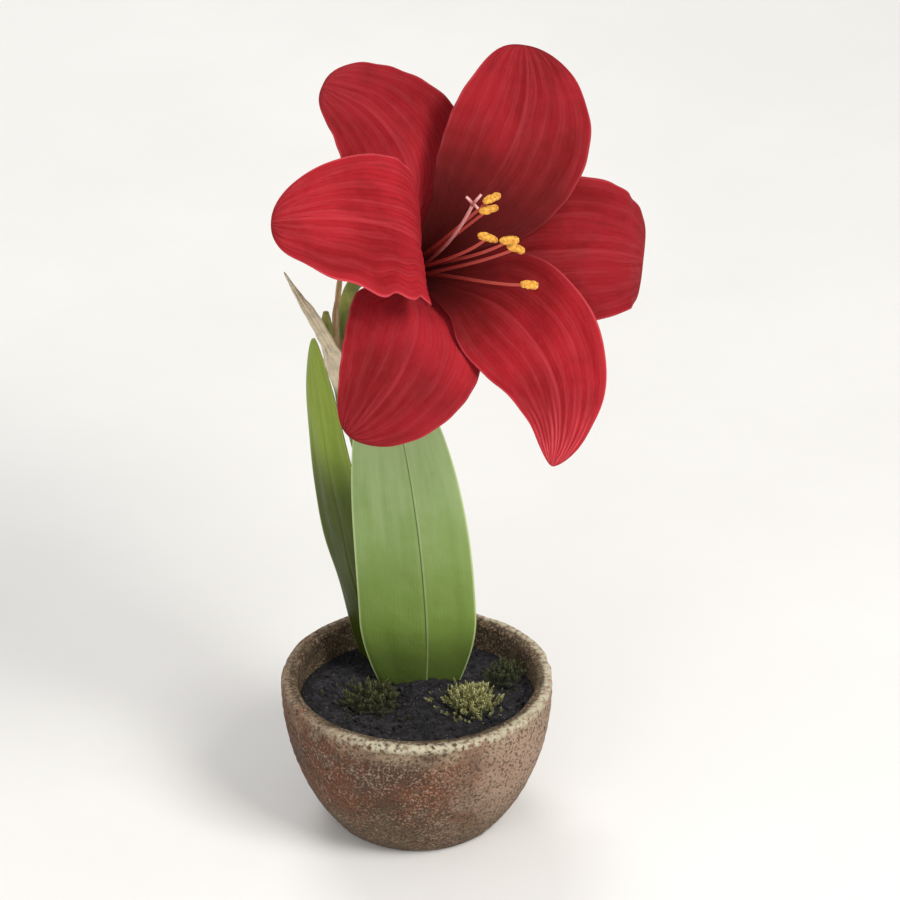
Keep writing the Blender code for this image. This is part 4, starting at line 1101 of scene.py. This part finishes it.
def make_style(material):
    """The style, with the stigma's three lobes joined to its end."""
    points, heading = throat_path(0, 0, 0.35 * STYLE_TIP[1], STYLE_TIP, 70)
    style = tube("style_with_stigma", points, [STYLE_RADIUS] * len(points), 17, material)
    side = heading.orthogonal().normalized()
    lobes = []
    for number in range(3):
        out = Matrix.Rotation(tau * number / 3, 3, heading) @ side
        start = points[-1] - heading * 0.0006
        bend = [start + heading * STIGMA_LOBE * s + out * STIGMA_LOBE * 0.75 * s ** 1.6
                for s in np.linspace(0, 1, 20)]
        lobes.append(tube("lobe", bend, np.linspace(0.00066, 0.00048, 20), 13, material))
    select(style, *lobes)
    bpy.ops.object.join()
    seat(style, "style_pink", "style_and_stigma")


# Moss and crumbs

def leaning(angle, tilt):
    """The direction tilted from upright towards an angle."""
    return Vector((cos(angle) * sin(tilt), sin(angle) * sin(tilt), cos(tilt)))


def moss_outline(angle, centre):
    """A cushion's reach at an angle, as a share of its radius."""
    return 1 + 0.12 * np.sin(3 * angle + centre[0] * 900) + 0.08 * np.sin(5 * angle + centre[1] * 700)


def moss_shoot():
    """One leafy shoot, 1 high: narrow leaves in a spiral. Gives its points, faces and shares up it."""
    points, faces, shares = [], [], []
    leaves = 15
    for number in range(leaves):
        up = 0.12 + 0.8 * number / leaves
        angle = number * GOLDEN_ANGLE
        out = leaning(angle, 1.15 - 0.75 * number / leaves)
        side = Vector((-sin(angle), cos(angle), 0)) * 0.055
        root = Vector((0, 0, up))
        length = 0.42 - 0.1 * number / leaves
        middle = root + out * length * 0.5 + Vector((0, 0, 0.03))
        tip = root + out * length + Vector((0, 0, 0.1))
        faces += [[len(points) + i for i in face] for face in MOSS_LEAF]
        points += [root - side * 0.5, root + side * 0.5, middle + side, middle - side, tip,
                   middle - Vector((0, 0, 0.035))]
        shares += [up * 0.6, up * 0.6, up * 0.9, up * 0.9, 1, up * 0.7]
    return np.array([list(p) for p in points]), faces, shares


def make_moss(bed, *materials):
    """Cushions of leafy shoots, each on a low crumbly mound."""
    points, faces, shares = moss_shoot()
    for (name, centre, radius, height, count), material in zip(MOSS, materials):
        draw = np.random.default_rng(count)
        dome = [(radius * s, 0.0009 + height * (1 - s ** 2.2)) for s in np.linspace(0, 1, 14)]
        mound = turned(name + "_mound", dome + [(radius, 0), (0, 0)], 48, bed)
        across, along_y, up = points_of(mound).T
        ragged = moss_outline(np.arctan2(along_y, across), centre)
        x, y = centre[0] + across * ragged, centre[1] + along_y * ragged
        move_points(mound, np.c_[x, y, up + soil_top(x, y) + 0.0006])
        roughen(mound, up > 0.0004, ("CLOUDS", 0.0012, 0.0013))
        shoots = []
        for number in range(count + count // 2):
            stray = number >= count
            share = draw.uniform(0.95, 1.8) if stray else 0.96 * ((number + 0.5) / count) ** 0.5
            angle = number * GOLDEN_ANGLE + draw.uniform(-0.2, 0.2)
            out = radius * share * moss_outline(angle, centre)
            x, y = centre[0] + out * cos(angle), centre[1] + out * sin(angle)
            heading = leaning(angle, 0.6 * min(share, 1) + draw.uniform(-0.45, 0.45))
            size = draw.uniform(0.0024, 0.0062) * (1 - 0.35 * min(share, 1)) * (0.7 if stray else 1)
            rise = 0 if stray else 0.0012 + height * (1 - share ** 2.2)
            foot = Matrix.Translation((x, y, soil_top(x, y) + rise))
            turn = Matrix.Rotation(draw.uniform(0, tau), 4, "Z")
            if hypot(x, y) < SOIL_REACH - MOSS_OFF_WALL:
                upright = heading.to_track_quat("Z", "Y").to_matrix().to_4x4()
                shoots.append(foot @ (upright @ turn) @ Matrix.Scale(size, 4))
        seat(mound, "moss", name)
        seat(strew(name + "_shoots", points, faces, shoots, material, shares), "moss")


def make_crumbs(material):
    """Loose crumbs lying on the soil."""
    select()
    bpy.ops.mesh.primitive_ico_sphere_add(subdivisions=1, radius=1)
    pebble = bpy.context.object
    points = points_of(pebble) * (1 + 0.22 * np.sin(np.arange(len(pebble.data.vertices)) * 2.3))[:, None]
    faces = [tuple(face.vertices) for face in pebble.data.polygons]
    bpy.data.objects.remove(pebble)
    draw = np.random.default_rng(11)
    places = []
    for _ in range(CRUMBS):
        radius = SOIL_REACH * draw.uniform(0, 1) ** 0.5 - CRUMBS_OFF_WALL
        angle = draw.uniform(0, tau)
        x, y = radius * cos(angle), radius * sin(angle)
        size = draw.uniform(0.00025, 0.0011) * draw.uniform(0.5, 1)
        foot = Matrix.Translation((x, y, soil_top(x, y) + 0.2 * size))
        turn = Matrix.Rotation(draw.uniform(0, tau), 4, Vector(draw.normal(size=3)).normalized())
        squash = Matrix.Diagonal((size * draw.uniform(0.7, 1.3), size, size * draw.uniform(0.6, 1), 1))
        places.append(foot @ turn @ squash)
    seat(strew("soil_crumbs", points, faces, places, material), "loam")


# Stage

def aim(item, place, look):
    """Sets a light or the camera at a place, looking in a direction."""
    item.location = place
    item.rotation_euler = look.to_track_quat("-Z", "Y").to_euler()


def make_stage():
    select()
    bpy.ops.mesh.primitive_plane_add(size=9)
    floor = bpy.context.object
    floor.name = "studio_floor"
    floor.data.materials.append(floor_material())
    world = bpy.data.worlds.new("studio")
    world.use_nodes = True
    sky = world.node_tree.nodes["Background"].inputs
    sky["Color"].default_value = (1, 0.99, 0.97, 1)
    sky["Strength"].default_value = 0.42
    bpy.context.scene.world = world
    bpy.context.scene.view_settings.view_transform = "Standard"
    for name, place, size, power, colour in (
            ("key", (0.95, -0.85, 1.3), 0.75, 24.5, (1, 0.98, 0.95)),
            ("fill", (-0.6, -1.5, 0.8), 1.3, 11, (0.97, 0.98, 1)),
            ("back", (-0.4, 1.1, 1.2), 0.8, 9, (1, 1, 1))):
        light = bpy.data.lights.new(name, "AREA")
        light.size, light.energy, light.color = size, power, colour
        aim(link(name, light), place, Vector((0, 0, 0.16)) - Vector(place))
    lens = bpy.data.cameras.new("photo_camera")
    lens.sensor_width, lens.lens, lens.clip_end = SENSOR, SENSOR * CAMERA_DISTANCE / VIEW_WIDTH, 50
    look = Vector((0, cos(CAMERA_RISE), -sin(CAMERA_RISE)))
    bpy.context.scene.camera = link("photo_camera", lens)
    aim(bpy.context.scene.camera, CAMERA_AIM - look * CAMERA_DISTANCE, look)


def dress():
    """Makes every piece and gives the buried bulb its skins."""
    make_pot(clay_material())
    loam = loam_material()
    make_soil(loam)
    make_crumbs(loam)
    make_moss(moss_bed_material(),
              moss_material("moss_bright", (0.24, 0.25, 0.075), (0.95, 0.92, 0.42)),
              moss_material("moss_dark", (0.03, 0.034, 0.012), (0.2, 0.21, 0.07)),
              moss_material("moss_dull", (0.024, 0.03, 0.01), (0.16, 0.18, 0.055)))
    make_leaves(
        leaf_material("front_leaf_green", (0.19, 0.29, 0.085), (0.29, 0.385, 0.165), (0.145, 0.225, 0.034),
                      (0.5, 0.6, 0.27), 0.56, (0.19, 0.05), 0.8, 0.4),
        leaf_material("left_leaf_green", (0.165, 0.24, 0.026), (0.27, 0.35, 0.048), (0.075, 0.105, 0.008),
                      (0.38, 0.46, 0.12), 0.5, (0.56, 0.38), 0.7, 0.18))
    make_scape(stalk_material("scape_green_skin", SCAPE_GREEN, (0.15, 0.235, 0.055), (0.12, 0.17, 0.04)))
    make_spathe(sheath_material("sheath_grey", (0.56, 0.48, 0.345), (0.32, 0.23, 0.14)),
                sheath_material("sheath_brown", (0.6, 0.4, 0.235), (0.38, 0.21, 0.11)))
    make_pedicel(stalk_material("ovary_green_skin", (0.105, 0.125, 0.016), (0.24, 0.25, 0.05),
                                (0.12, 0.14, 0.022)))
    make_bud(stalk_material("bud_green_skin", (0.17, 0.215, 0.04), (0.3, 0.33, 0.085), (0.17, 0.2, 0.06)))
    make_cup(cup_material())
    # Each set of reds: deep, bright, line, and the throat's dark red, which is partly painted shade
    back = petal_material("petal_back", (0.24, 0.012, 0.016), (0.38, 0.022, 0.03), (0.52, 0.08, 0.09),
                          (0.15, 0.02, 0.015), 0.8, (0.4, 0.1), 0.3, 0.2, 0)
    reds = (0.235, 0.0055, 0.0088), (0.385, 0.0125, 0.02), (0.56, 0.062, 0.078), (0.072, 0.0062, 0.0052)
    make_tepals(back, *(petal_material("petal_" + tepal.name[6:], *reds, *looks)
                        for tepal, looks in zip(TEPALS, PETAL_LOOKS)))
    make_stamens(shaded_material("filament_red_skin", (0.2, 0.007, 0.01), (0.62, 0.115, 0.085), 0.6),
                 pollen_material())
    make_style(shaded_material("style_pink_skin", (0.24, 0.014, 0.02), (0.76, 0.38, 0.35), 0.5))
    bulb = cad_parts["bulb"]
    bulb.data.materials.clear()
    bulb.data.materials.append(bulb_material())


make_stage()
dress()
select()
